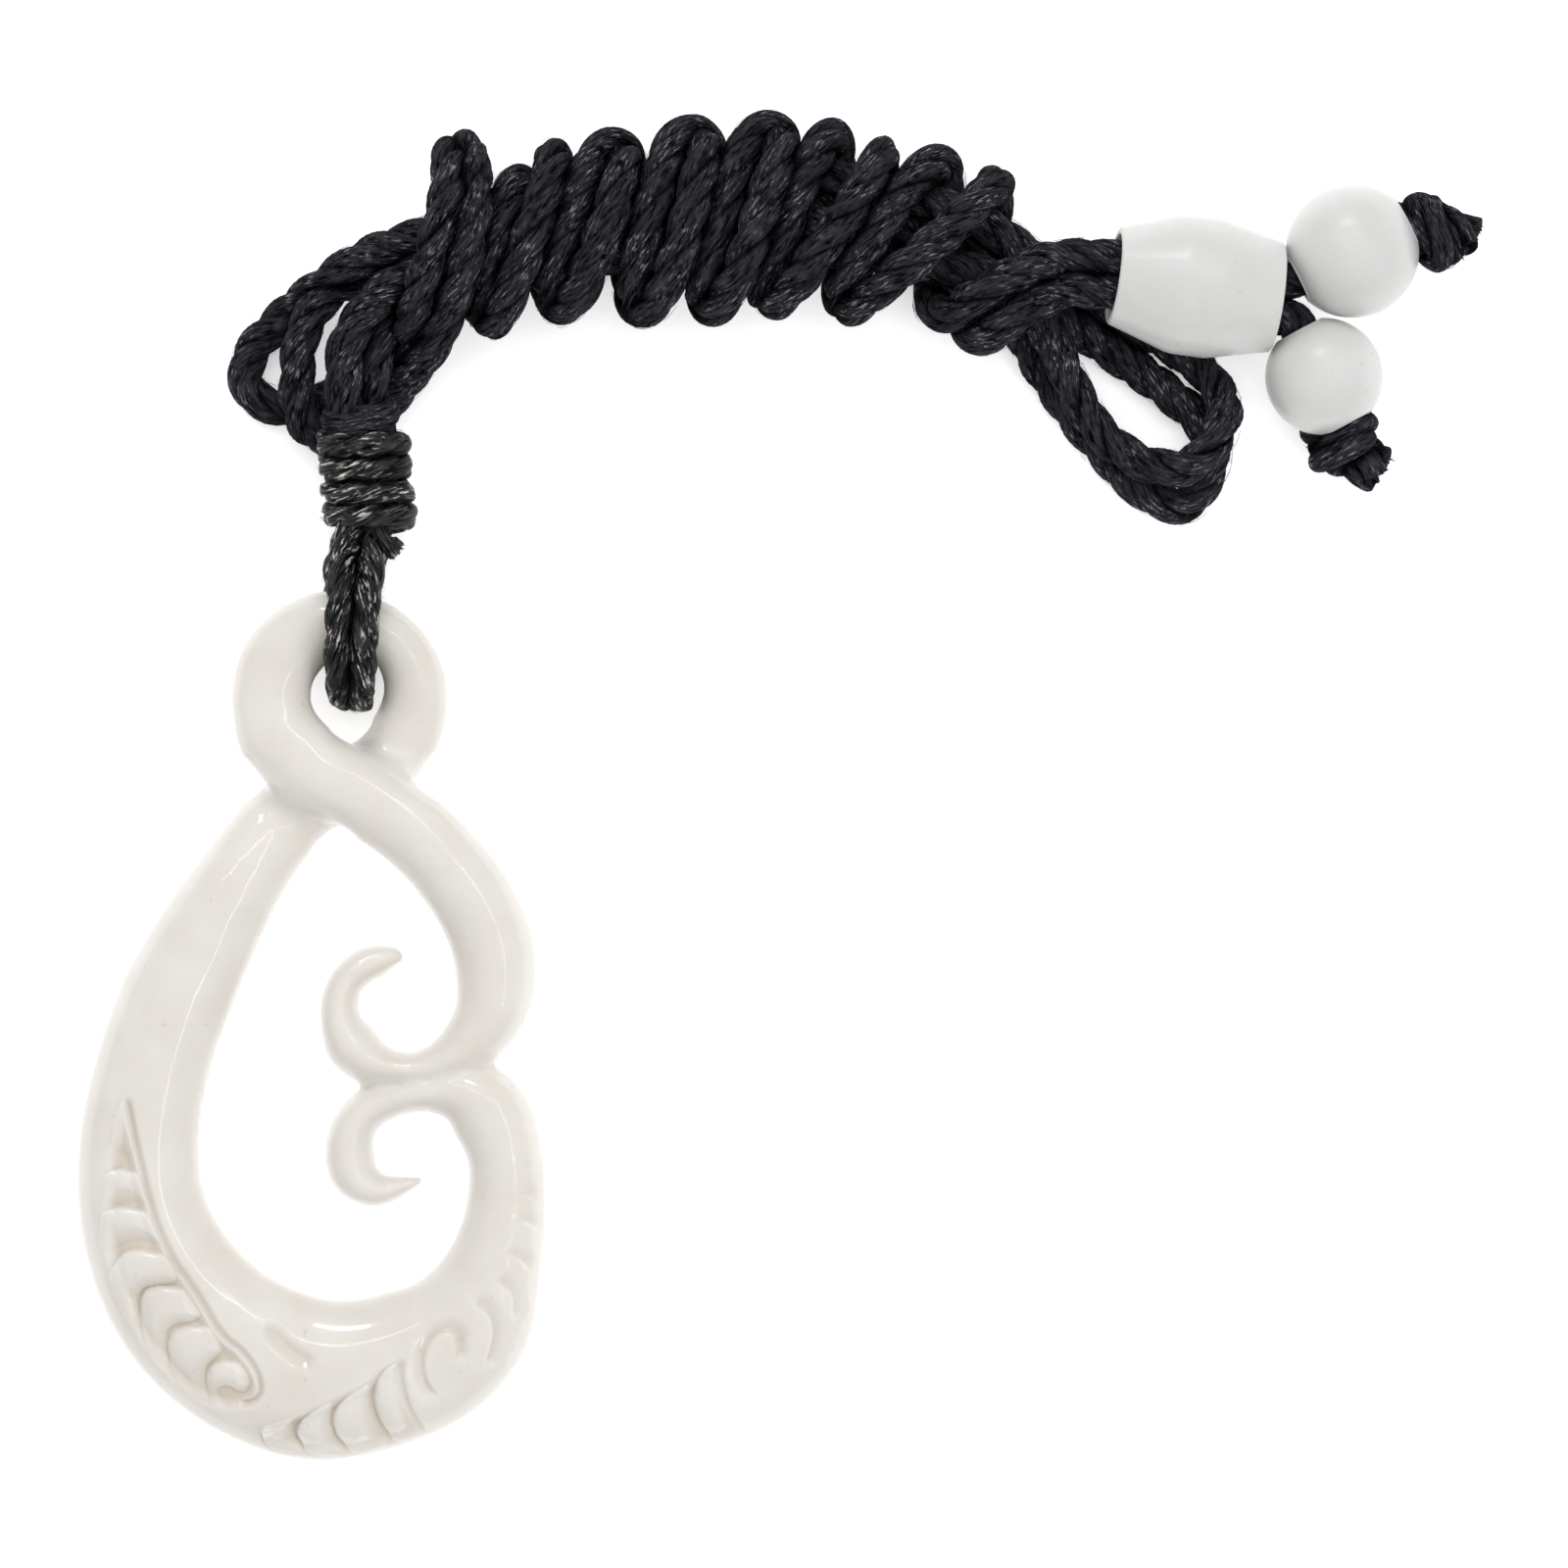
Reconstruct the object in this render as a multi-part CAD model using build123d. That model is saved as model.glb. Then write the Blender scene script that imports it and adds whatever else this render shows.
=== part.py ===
from build123d import *
import os
from math import cos, pi, radians, sin, sqrt, tan

# A carved bone pikorua (twist) pendant lying flat on its back, with its doubled
# hanging loop, the whipped binding above it, and the twisted neck cord wound into
# a hank that ends in a barrel bead, two round beads and two knots.
# Millimetres. The origin is the bottom centre of the carved pendant. +Y runs from
# the lower curl to the eye, +X to the hank, and +Z up from the surface it lies on.

# Carved pendant
pendant_height = 44.35
pendant_width = 24.1
broad_band = 8.3
pendant_thickness = 4.8

# Cords
neck_cord_d = 1.8
hanging_cord_d = 1.35
cord_gap = 0.15

# Binding of thread between the hanging loop and the neck cord
binding_length = 5.6
binding_width = 4.75
binding_depth = 3.4
collar_length = 1.1
collar_width = 3.95
binding_top_height = 4.0
binding_bottom_height = 2.8
binding_lean = 5.0
binding_right = 1.6
loop_to_binding = 2.85
loop_mouth_gap = 0.9
loop_mouth_left = 0.7
loop_mouth_rise = 0.75

# Hank: the outer shape of the wound cord
hank_left = 4.7
hank_base = 35.8
hank_length = 31.2
hank_width = 11.0
hank_thickness = 7.0
wrap_relief = 0.45
shoulder_relief = 0.05
shoulder_share = 0.28
hank_clear = 0.05

# Beads
barrel_length = 8.45
barrel_d = 7.1
barrel_near_end_d = 4.9
barrel_far_end_d = 5.6
barrel_flat = 1.75
round_bead_a_d = 6.8
round_bead_a_length = 6.3
round_bead_b_d = 6.0
round_bead_b_length = 5.4
bead_clearance = 0.3
bead_edge_round = 0.25

# Knots
knot_width = 4.3
knot_length = 3.9
knot_depth = 3.8
knot_stub = 1.2


# Sections of the front band: from the upper curl's tip, round its hook, up the
# right limb, across the front of the crossing and up the left of the eye.
# x: share of the width; y: share of the height; w: share of the broadest band;
# t: share of the thickness; up: underside, share of the thickness.
FRONT_BAND = [
    # x, y, w, t, up
    (0.191, 0.077, 0.050, 0.30, 0.30),
    (0.176, 0.081, 0.120, 0.48, 0.20),
    (0.149, 0.079, 0.187, 0.60, 0.12),
    (0.102, 0.069, 0.223, 0.68, 0.08),
    (0.066, 0.048, 0.223, 0.74, 0.04),
    (0.055, 0.021, 0.247, 0.80, 0.01),
    (0.066, -0.006, 0.293, 0.84, 0.00),
    (0.099, -0.030, 0.325, 0.86, 0.00),
    (0.143, -0.044, 0.265, 0.86, 0.00),
    (0.201, -0.048, 0.217, 0.86, 0.00),
    (0.268, -0.040, 0.265, 0.90, 0.00),
    (0.336, -0.015, 0.386, 0.96, -0.02),
    (0.376, 0.016, 0.458, 1.00, -0.03),
    (0.390, 0.052, 0.506, 1.00, -0.03),
    (0.384, 0.091, 0.524, 1.00, -0.03),
    (0.357, 0.130, 0.518, 0.97, 0.00),
    (0.299, 0.179, 0.506, 0.90, 0.10),
    (0.224, 0.222, 0.494, 0.80, 0.24),
    (0.108, 0.268, 0.506, 0.69, 0.38),
    (0.027, 0.291, 0.518, 0.67, 0.39),
    (-0.037, 0.314, 0.536, 0.66, 0.38),
    (-0.079, 0.350, 0.511, 0.65, 0.35),
    (-0.086, 0.385, 0.490, 0.64, 0.32),
    (-0.073, 0.416, 0.488, 0.64, 0.31),
    (-0.033, 0.444, 0.464, 0.63, 0.32),
    (0.012, 0.461, 0.410, 0.63, 0.33),
    (0.060, 0.466, 0.367, 0.63, 0.33),
]

# Sections of the back band: from the top of the eye down its right side, behind
# the crossing, down the left limb, round the bottom and into the lower curl.
BACK_BAND = [
    # x, y, w, t, up
    (0.060, 0.466, 0.367, 0.63, 0.33),
    (0.122, 0.462, 0.343, 0.63, 0.31),
    (0.185, 0.437, 0.355, 0.63, 0.24),
    (0.218, 0.390, 0.398, 0.63, 0.14),
    (0.203, 0.346, 0.440, 0.61, 0.05),
    (0.158, 0.308, 0.458, 0.58, 0.00),
    (0.064, 0.279, 0.446, 0.57, -0.02),
    (-0.035, 0.251, 0.506, 0.64, -0.02),
    (-0.108, 0.208, 0.524, 0.80, -0.03),
    (-0.218, 0.112, 0.620, 0.96, -0.03),
    (-0.280, 0.045, 0.687, 1.00, -0.03),
    (-0.330, -0.028, 0.705, 1.03, -0.03),
    (-0.361, -0.104, 0.735, 1.03, -0.03),
    (-0.367, -0.178, 0.771, 1.03, -0.03),
    (-0.344, -0.240, 0.831, 1.03, -0.03),
    (-0.295, -0.297, 0.904, 1.03, -0.03),
    (-0.214, -0.349, 0.964, 1.03, -0.03),
    (-0.104, -0.387, 1.000, 1.03, -0.03),
    (0.027, -0.406, 1.000, 1.03, -0.03),
    (0.149, -0.396, 0.940, 1.03, -0.03),
    (0.249, -0.375, 0.904, 1.03, -0.03),
    (0.330, -0.338, 0.807, 1.03, -0.03),
    (0.384, -0.276, 0.614, 1.01, -0.03),
    (0.411, -0.206, 0.506, 0.98, -0.03),
    (0.405, -0.138, 0.482, 0.96, -0.02),
    (0.361, -0.089, 0.494, 0.92, 0.00),
    (0.299, -0.072, 0.373, 0.87, 0.00),
    (0.230, -0.074, 0.253, 0.83, 0.00),
    (0.162, -0.083, 0.241, 0.80, 0.00),
    (0.098, -0.104, 0.271, 0.78, 0.00),
    (0.076, -0.140, 0.307, 0.76, 0.01),
    (0.091, -0.172, 0.295, 0.72, 0.04),
    (0.137, -0.188, 0.211, 0.62, 0.10),
    (0.185, -0.183, 0.133, 0.48, 0.18),
    (0.216, -0.178, 0.072, 0.36, 0.26),
    (0.230, -0.174, 0.030, 0.24, 0.32),
]

# Run of the hanging loop, from the binding over the ring, through the eye and back.
# right: mm right of the ring's middle; edge: the ring's edge that it passes;
# past: mm above that edge; level: 1 in front of the ring, -1 behind it.
HANGING_LOOP = [
    # right, edge, past, level
    (0.8, "outer", 0.30, 1),
    (0.7, "inner", -1.15, 1),
    (0.5, "inner", -2.60, 0),
    (0.3, "inner", -1.15, -1),
    (0.3, "outer", 0.90, -1),
]

# Pairs of wraps of the hank, left to right: the foot and the crest of each pair.
# x: share of the hank's length; y: share of its width above its base line.
HANK = [
    # foot x, foot y, crest x, crest y
    (0.00, -0.29, 0.06, 0.85),
    (0.04, -0.21, 0.09, 0.90),
    (0.15, -0.06, 0.21, 0.84),
    (0.26, -0.01, 0.34, 0.92),
    (0.40, -0.01, 0.47, 0.98),
    (0.51, 0.01, 0.58, 1.00),
    (0.61, 0.04, 0.70, 0.95),
    (0.71, 0.02, 0.79, 0.87),
    (0.80, 0.01, 0.88, 0.82),
    (0.86, 0.00, 0.97, 0.72),
    (0.88, 0.00, 1.00, 0.65),
]

# Routes of the neck cord where it isn't wound, chosen along its two arms.
START_A = [
    (1.85, 32.1, 4.6),
    (1.8, 33.9, 4.8),
    (2.5, 35.9, 5.3),
    (3.9, 37.2, 5.5),
    (4.85, 37.8, 5.5),
]
START_B = [
    (3.0, 32.1, 3.1),
    (3.0, 33.7, 3.2),
    (3.5, 35.2, 3.4),
    (4.45, 36.05, 3.65),
]
LEFT_LOOP_A = [
    (5.35, 40.4, 4.3),
    (3.3, 40.5, 4.2),
    (1.1, 39.4, 3.5),
    (-1.1, 37.5, 2.2),
    (-2.95, 35.5, 1.2),
    (-3.6, 33.5, 0.95),
    (-2.9, 32.0, 0.95),
    (-1.3, 31.8, 0.95),
    (0.4, 32.4, 0.95),
    (2.3, 32.9, 0.95),
    (3.7, 33.5, 0.95),
    (4.35, 34.1, 1.0),
]
LEFT_LOOP_B = [
    (5.3, 38.7, 2.3),
    (2.8, 38.3, 2.0),
    (0.9, 37.0, 1.6),
    (-0.3, 35.2, 2.1),
    (-0.75, 33.3, 3.1),
    (-0.7, 31.4, 3.1),
    (-0.1, 30.1, 1.7),
    (1.4, 30.0, 0.95),
    (3.4, 30.8, 0.95),
    (5.0, 32.0, 0.95),
]
RIGHT_LOOP_A = [
    (33.4, 37.2, 1.9),
    (35.0, 36.7, 1.3),
    (36.4, 35.3, 0.95),
    (37.4, 33.0, 0.95),
    (38.8, 30.5, 0.95),
    (40.4, 28.4, 0.95),
    (42.4, 27.1, 0.95),
    (44.4, 26.7, 0.95),
    (45.9, 27.7, 0.95),
    (46.1, 29.4, 0.95),
    (45.1, 31.0, 0.95),
    (43.4, 32.3, 0.95),
    (41.5, 33.6, 0.95),
    (39.8, 34.8, 0.95),
    (38.3, 36.2, 0.95),
    (36.6, 38.0, 0.95),
    (35.0, 39.6, 1.15),
]
RIGHT_LOOP_B = [
    (34.0, 38.4, 3.3),
    (35.7, 37.7, 3.05),
    (37.3, 35.9, 2.75),
    (38.5, 33.2, 2.6),
    (39.7, 30.9, 2.65),
    (41.2, 29.3, 2.55),
    (43.1, 28.5, 2.4),
    (44.9, 28.6, 2.85),
    (46.5, 29.9, 3.0),
    (46.9, 31.6, 2.2),
    (46.0, 33.3, 1.2),
    (44.2, 34.3, 0.95),
    (42.4, 35.2, 0.95),
    (40.4, 36.85, 0.95),
    (38.7, 38.65, 1.25),
    (37.0, 40.2, 2.3),
    (35.5, 40.9, 3.4),
]
TAIL_A_START = [
    (34.65, 38.8, 5.4),
    (35.8, 39.5, 5.3),
    (37.4, 39.75, 4.65),
]
TAIL_B_START = [
    (33.8, 36.1, 4.9),
    (35.4, 36.4, 5.1),
    (37.0, 37.2, 4.75),
]

# Where the beads lie on the cord: the barrel's place and turn in plan, how far the
# cord runs on before it bends, and the way each end then points.
barrel_x = 44.95
barrel_y = 37.7
barrel_lift = 0.6
barrel_turn = -7.4
bead_a_turn = 27.0
bead_b_turn = -62.0
bead_a_lift = 0.2
bead_b_lift = 0.3
lead_in = 1.9
run_on_a = 0.7
run_on_b = 0.95
bend_at_bead_a = 3.4
bend_at_bead_b = 2.2
bead_gap = 0.15


def band_section(rows, index):
    """One elliptical section of the band, square to its centre line."""
    x, y, w, t, up = rows[index]
    before = rows[max(index - 1, 0)]
    after = rows[min(index + 1, len(rows) - 1)]
    along = Vector(
        (after[0] - before[0]) * pendant_width,
        (after[1] - before[1]) * pendant_height,
        0,
    ).normalized()
    across = Vector(-along.Y, along.X, 0)
    depth = t * pendant_thickness
    centre = Vector(
        x * pendant_width,
        y * pendant_height,
        up * pendant_thickness + depth / 2,
    )
    plane = Plane(origin=centre, x_dir=across, z_dir=along)
    return plane * Ellipse(w * broad_band / 2, depth / 2)


def make_pendant():
    """The two bands joined at the top of the eye, ground flat where it lies."""
    rows = FRONT_BAND + BACK_BAND[1:]
    sections = [band_section(rows, index) for index in range(len(rows))]
    joint = len(FRONT_BAND) - 1
    carved = loft(sections[: joint + 1]) + loft(sections[joint:])
    below = Box(
        2 * pendant_width,
        2 * pendant_height,
        pendant_thickness,
        align=(Align.CENTER, Align.CENTER, Align.MAX),
    )
    return carved - below


def corner_radius(points, index):
    """The largest arc that the two runs at a corner allow, and its turn."""
    before = points[index] - points[index - 1]
    after = points[index + 1] - points[index]
    turn = radians(before.get_angle(after))
    shorter = min(before.length, after.length)
    return 0.45 * shorter / tan(turn / 2)


def cord_tube(name, route, diameter, held=None):
    """A round tube along straight runs joined by tangent arcs."""
    points = [Vector(*point) for point in route]
    radii = [corner_radius(points, index) for index in range(1, len(points) - 1)]
    for corner, radius in (held or {}).items():
        radii[corner - 1] = radius
    path = FilletPolyline(*points, radius=radii)
    start = Plane(origin=path @ 0, z_dir=path % 0)
    tube = sweep(start * Circle(diameter / 2), path=path)
    expected = pi * diameter**2 / 4 * path.length
    print(
        name, "length", round(path.length, 1),
        "least radius", round(min(radii), 2),
        "volume share", round(tube.volume / expected, 4),
    )
    return tube


def ring_top():
    """Outer edge, middle, underside and top of the eye where the loop goes round."""
    x, y, w, t, up = FRONT_BAND[-1]
    middle = y * pendant_height
    underside = up * pendant_thickness
    return (
        x * pendant_width,
        middle + w * broad_band / 2,
        middle - w * broad_band / 2,
        underside,
        underside + t * pendant_thickness,
    )


def binding_axis():
    """Bottom and top of the binding's centre line."""
    x, outer, inner, underside, top = ring_top()
    length = binding_length + collar_length
    bottom = Vector(x + binding_right, outer + loop_to_binding, binding_bottom_height)
    lean = radians(binding_lean)
    top_end = bottom + Vector(
        -sin(lean) * length, cos(lean) * length, binding_top_height - binding_bottom_height
    )
    return bottom, top_end


def make_binding():
    bottom, top = binding_axis()
    along = (top - bottom).normalized()
    across = Vector(along.Y, -along.X, 0).normalized()
    share = binding_length / (binding_length + collar_length)
    shoulder = bottom + (top - bottom) * share
    body = extrude(
        Plane(origin=bottom, x_dir=across, z_dir=along)
        * Ellipse(binding_width / 2, binding_depth / 2),
        (shoulder - bottom).length,
    )
    collar = extrude(
        Plane(origin=shoulder, x_dir=across, z_dir=along)
        * Ellipse(collar_width / 2, binding_depth / 2 * collar_width / binding_width),
        (top - shoulder).length,
    )
    return body + collar


def hanging_route(side):
    """Down over the ring, through the eye and back up behind it."""
    x, outer, inner, underside, top = ring_top()
    bottom, top_end = binding_axis()
    r = hanging_cord_d / 2
    offset = side * (r + cord_gap / 2)
    front = top + r + cord_gap
    back = underside - r - cord_gap
    heights = {1: front, 0: (front + back) / 2, -1: back}
    edges = {"outer": outer, "inner": inner}
    mouth = bottom - (top_end - bottom).normalized() * loop_mouth_gap
    mouth_x = mouth.X - loop_mouth_left + offset
    run = [
        (x + right + offset, edges[edge] + past, heights[level])
        for right, edge, past, level in HANGING_LOOP
    ]
    return [
        (mouth_x, mouth.Y, mouth.Z + loop_mouth_rise),
        *run,
        (mouth_x, mouth.Y, mouth.Z - loop_mouth_rise),
    ]


def between(first, second, share):
    return tuple(a + (b - a) * share for a, b in zip(first, second))


def hank_section(row, sunk):
    """An upright ellipse from the foot to the crest of a wrap."""
    foot_x, foot_y, crest_x, crest_y = row
    foot = Vector(hank_left + foot_x * hank_length, hank_base + foot_y * hank_width, 0)
    crest = Vector(hank_left + crest_x * hank_length, hank_base + crest_y * hank_width, 0)
    rise = (crest - foot).normalized()
    across = Vector(rise.Y, -rise.X, 0)
    centre = (foot + crest) / 2 + Vector(0, 0, hank_thickness / 2 + hank_clear)
    half = (crest - foot).length / 2
    plane = Plane(origin=centre, x_dir=rise, z_dir=across)
    return plane * Ellipse(half - sunk, hank_thickness / 2 - sunk)


def make_hank():
    """The wraps as one ribbed solid, with a groove between each two pairs."""
    sections = [hank_section(HANK[0], 0)]
    for first, second in zip(HANK[1:-2], HANK[2:-1]):
        sections.append(hank_section(first, 0))
        for share, sunk in (
            (shoulder_share, shoulder_relief),
            (0.5, wrap_relief),
            (1 - shoulder_share, shoulder_relief),
        ):
            sections.append(hank_section(between(first, second, share), sunk))
    sections.append(hank_section(HANK[-2], 0))
    sections.append(hank_section(HANK[-1], 0))
    return loft(sections, ruled=True)


def heading(turn):
    return Vector(cos(radians(turn)), sin(radians(turn)), 0)


def barrel_centre():
    return Vector(barrel_x, barrel_y, barrel_d / 2 + barrel_lift)


def barrel_bore_r():
    """Two cords side by side, with clearance."""
    return neck_cord_d + cord_gap / 4 + bead_clearance


def make_barrel():
    half = barrel_length / 2
    flat = barrel_flat / 2
    bore = barrel_bore_r()
    profile = make_face(
        Polyline(
            (bore, -half),
            (barrel_near_end_d / 2, -half),
            (barrel_d / 2, -flat),
            (barrel_d / 2, flat),
            (barrel_far_end_d / 2, half),
            (bore, half),
            close=True,
        )
    )
    body = revolve(Plane.XZ * profile, Axis.Z)
    rims = body.edges().filter_by(GeomType.CIRCLE)
    outer = [edge for edge in rims if edge.radius > bore + bead_edge_round / 2]
    rounded = fillet(outer, bead_edge_round)
    return Plane(origin=barrel_centre(), z_dir=heading(barrel_turn)) * rounded


def make_round_bead(diameter, length, plane):
    """A ball with flattened ends and a drilled bore."""
    ends = Box(2 * diameter, 2 * diameter, length)
    bore = Cylinder(neck_cord_d / 2 + bead_clearance, 2 * length)
    return plane * ((Sphere(diameter / 2) & ends) - bore)


def cord_lane(side):
    """The straight way of one cord through the barrel bead."""
    along = heading(barrel_turn)
    beside = Vector(-along.Y, along.X, 0)
    middle = barrel_centre() + beside * side * (neck_cord_d + cord_gap / 4) / 2
    return middle, along


def seat_ball(corner, turn, diameter, lift, neighbours):
    """Slide a ball out from the cord's bend until it clears its neighbours."""
    along = heading(turn)
    height = diameter / 2 + lift
    furthest = diameter / 2
    for point, reach in neighbours:
        to_corner = Vector(corner.X - point.X, corner.Y - point.Y, 0)
        drop = height - point.Z
        apart = diameter / 2 + reach + bead_gap
        half = to_corner.dot(along)
        inside = half**2 - to_corner.dot(to_corner) - drop**2 + apart**2
        if inside > 0:
            furthest = max(furthest, sqrt(inside) - half)
    place = corner + along * furthest
    return Vector(place.X, place.Y, height)


def tail_route(start, side, corner, centre, half):
    """From the hank through the barrel bead and one round bead to its knot."""
    middle, along = cord_lane(side)
    entry = middle - along * (barrel_length / 2 + lead_in)
    end = centre + (centre - corner).normalized() * (half + 0.1)
    return list(start) + [tuple(entry), tuple(corner), tuple(end)]


def make_knot(point, direction, stub_turn):
    """The outer form of an overhand knot, with its cut end."""
    centre = point + direction * (knot_length / 2)
    plane = Plane(origin=centre, x_dir=Vector(0, 0, 1), z_dir=direction)
    across = Ellipse(knot_depth / 2, knot_width / 2)
    layers = [
        (-0.50, 0.55),
        (-0.36, 0.86),
        (-0.12, 1.00),
        (0.12, 1.00),
        (0.36, 0.84),
        (0.50, 0.50),
    ]
    sections = [
        plane * Pos(0, 0, place * knot_length) * scale(across, by=share)
        for place, share in layers
    ]
    lump = loft(sections)
    out = Vector(cos(radians(stub_turn)), sin(radians(stub_turn)), 0)
    stub_start = Plane(origin=centre, z_dir=out)
    stub = extrude(stub_start * Circle(neck_cord_d / 2), knot_width / 2 + knot_stub)
    return lump + stub


def write(name, solid):
    export_step(solid, "parts/" + name + ".step")


os.makedirs("parts", exist_ok=True)

write("pendant", make_pendant())
write("binding", make_binding())
for letter, side in (("a", -1), ("b", 1)):
    name = "hanging_loop_" + letter
    write(name, cord_tube(name, hanging_route(side), hanging_cord_d))

write("hank_body", make_hank())
routes = {
    "neck_cord_start_a": START_A,
    "neck_cord_start_b": START_B,
    "left_loop_a": LEFT_LOOP_A,
    "left_loop_b": LEFT_LOOP_B,
    "right_loop_a": RIGHT_LOOP_A,
    "right_loop_b": RIGHT_LOOP_B,
}
for name, route in routes.items():
    write(name, cord_tube(name, route, neck_cord_d))

write("barrel_bead", make_barrel())

rim_middle, rim_along = cord_lane(0)
far_end = rim_middle + rim_along * barrel_length / 2
rim_beside = Vector(-rim_along.Y, rim_along.X, 0) * barrel_far_end_d / 2
corners = {}
for letter, side, run_on in (("a", 1, run_on_a), ("b", -1, run_on_b)):
    middle, along = cord_lane(side)
    corners[letter] = middle + along * (barrel_length / 2 + run_on)
centre_a = seat_ball(
    corners["a"], bead_a_turn, round_bead_a_d, bead_a_lift, [(far_end + rim_beside, 0)]
)
centre_b = seat_ball(
    corners["b"],
    bead_b_turn,
    round_bead_b_d,
    bead_b_lift,
    [(far_end - rim_beside, 0), (centre_a, round_bead_a_d / 2)],
)
ends = (
    ("a", 1, TAIL_A_START, centre_a, round_bead_a_d, round_bead_a_length, bend_at_bead_a, -12),
    ("b", -1, TAIL_B_START, centre_b, round_bead_b_d, round_bead_b_length, bend_at_bead_b, -35),
)
for letter, side, start, centre, diameter, length, bend, stub_turn in ends:
    corner = corners[letter]
    direction = (centre - corner).normalized()
    plane = Plane(origin=centre, z_dir=direction)
    write("round_bead_" + letter, make_round_bead(diameter, length, plane))
    route = tail_route(start, side, corner, centre, length / 2)
    name = "cord_tail_" + letter
    write(name, cord_tube(name, route, neck_cord_d, {len(route) - 2: bend}))
    print("bead", letter, centre, "from bend", (centre - corner).length)
    knot_start = centre + direction * (length / 2 + bead_gap)
    write("end_knot_" + letter, make_knot(knot_start, direction, stub_turn))
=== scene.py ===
import bmesh
import bpy
import math
import numpy as np
from mathutils import Matrix, Vector


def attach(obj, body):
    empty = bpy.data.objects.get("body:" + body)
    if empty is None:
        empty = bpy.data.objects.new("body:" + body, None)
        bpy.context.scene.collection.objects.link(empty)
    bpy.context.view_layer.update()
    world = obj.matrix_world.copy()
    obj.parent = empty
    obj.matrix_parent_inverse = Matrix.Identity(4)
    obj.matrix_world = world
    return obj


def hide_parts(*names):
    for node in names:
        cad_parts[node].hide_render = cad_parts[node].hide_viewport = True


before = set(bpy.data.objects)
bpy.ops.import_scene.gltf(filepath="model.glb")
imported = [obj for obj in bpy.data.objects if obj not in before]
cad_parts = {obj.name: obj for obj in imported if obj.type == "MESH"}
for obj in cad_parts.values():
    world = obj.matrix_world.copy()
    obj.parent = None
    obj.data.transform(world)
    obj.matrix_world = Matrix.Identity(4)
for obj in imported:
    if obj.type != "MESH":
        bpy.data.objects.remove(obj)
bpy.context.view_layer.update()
scene = bpy.context.scene

MM = 0.001

# Camera: straight above, the photograph's frame is 80 mm wide at the pendant's middle
VIEW_CENTRE = (24.05, 12.4)
VIEW_WIDTH = 80.0
CAMERA_HEIGHT = 500.0
PENDANT_MIDDLE = 2.4
SENSOR_WIDTH = 36.0

# Cords, in mm: diameter, length of one turn of their lay, and step between a mesh's rings
NECK_D = 1.8
NECK_LAY = 6.0
NECK_STEP = 0.20
LOOP_D = 1.35
LOOP_LAY = 5.0
THREAD_D = 1.42
THREAD_LAY = 3.6
FINE_STEP = 0.14
KNOT_LAY = 9.0
KNOT_STEP = 0.16
FLOOR_CLEARANCE = 0.01

# How much fuller than its diameter a cord lies: round the neck, in the loop and in a knot
NECK_FULLNESS = 1.07
LOOP_FULLNESS = 1.12
KNOT_FULLNESS = 1.18

# Strands of a laid cord, as shares of its radius: their radius and how far out they lie
STRAND_RADIUS = 0.57
STRAND_REACH = 0.47

# How uneven a cord is: the size of a slow random change, and the length in mm that it takes
LAY_SWING = (0.45, 6.0)
STRAND_SWING = (0.16, 2.2)
STRAND_SWELL = (0.08, 1.5)
STRAND_STRAY = (0.09, 3.0)
COLLAR_SWELL = (0.06, 2.0)
RIDGE_LENGTH = 0.9
SPLAY_LENGTH = 1.4

# Fibres on a cord, in mm: parts of each, step along the cord, and radii along the fibre
HAIR_PARTS = 4
HAIR_STEP = 0.2
HAIR_RADII = 0.012 * np.array([0.6, 1.0, 1.0, 0.9, 0.5])

# Painted shade on a cord: painted dark in the valleys between its strands, as shares of its radius,
# and close to cord that lies against it, in mm
VALLEY_TOP = 0.84
VALLEY_DEPTH = 0.20
CLEFT_WIDTH = 0.42
SAME_PASS = 2.6

# Routes of the two arms of the neck cord, in mm, where they aren't wound
START_A = [
    (2.1, 29.6, 3.6), (1.75, 31.4, 4.5), (1.6, 33.3, 4.8), (1.9, 35.0, 5.0), (2.7, 36.4, 4.9),
    (4.0, 37.6, 4.6), (5.4, 38.4, 4.3),
]
START_B = [
    (3.0, 29.8, 2.9), (3.0, 31.6, 3.3), (3.05, 33.6, 3.6), (3.4, 35.1, 3.5), (4.2, 36.3, 3.1),
    (5.4, 37.1, 2.9),
]
CORE_OUT_A = [
    (7.0, 39.1, 4.2), (13.0, 40.8, 4.3), (21.0, 41.5, 4.3), (28.0, 40.8, 4.3), (31.8, 38.9, 3.2),
]
CORE_OUT_B = [
    (7.2, 37.6, 3.2), (13.0, 39.1, 3.5), (21.0, 39.9, 3.6), (28.0, 39.4, 3.7), (32.0, 38.9, 4.1),
]
RIGHT_LOOP_A = [
    (33.4, 37.4, 1.9), (35.0, 36.7, 1.2), (36.4, 35.3, 0.95), (37.4, 33.2, 0.95), (39.2, 30.85, 0.95),
    (40.9, 28.75, 0.95), (42.55, 27.15, 0.95), (44.5, 26.4, 0.95), (45.6, 27.6, 0.95),
    (46.2, 29.5, 0.95), (45.2, 31.25, 0.95), (43.5, 32.6, 0.95), (41.7, 33.9, 0.95), (40.0, 35.0, 0.95),
    (38.5, 36.4, 0.95), (36.6, 38.0, 0.95), (35.0, 39.6, 1.3),
]
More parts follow.
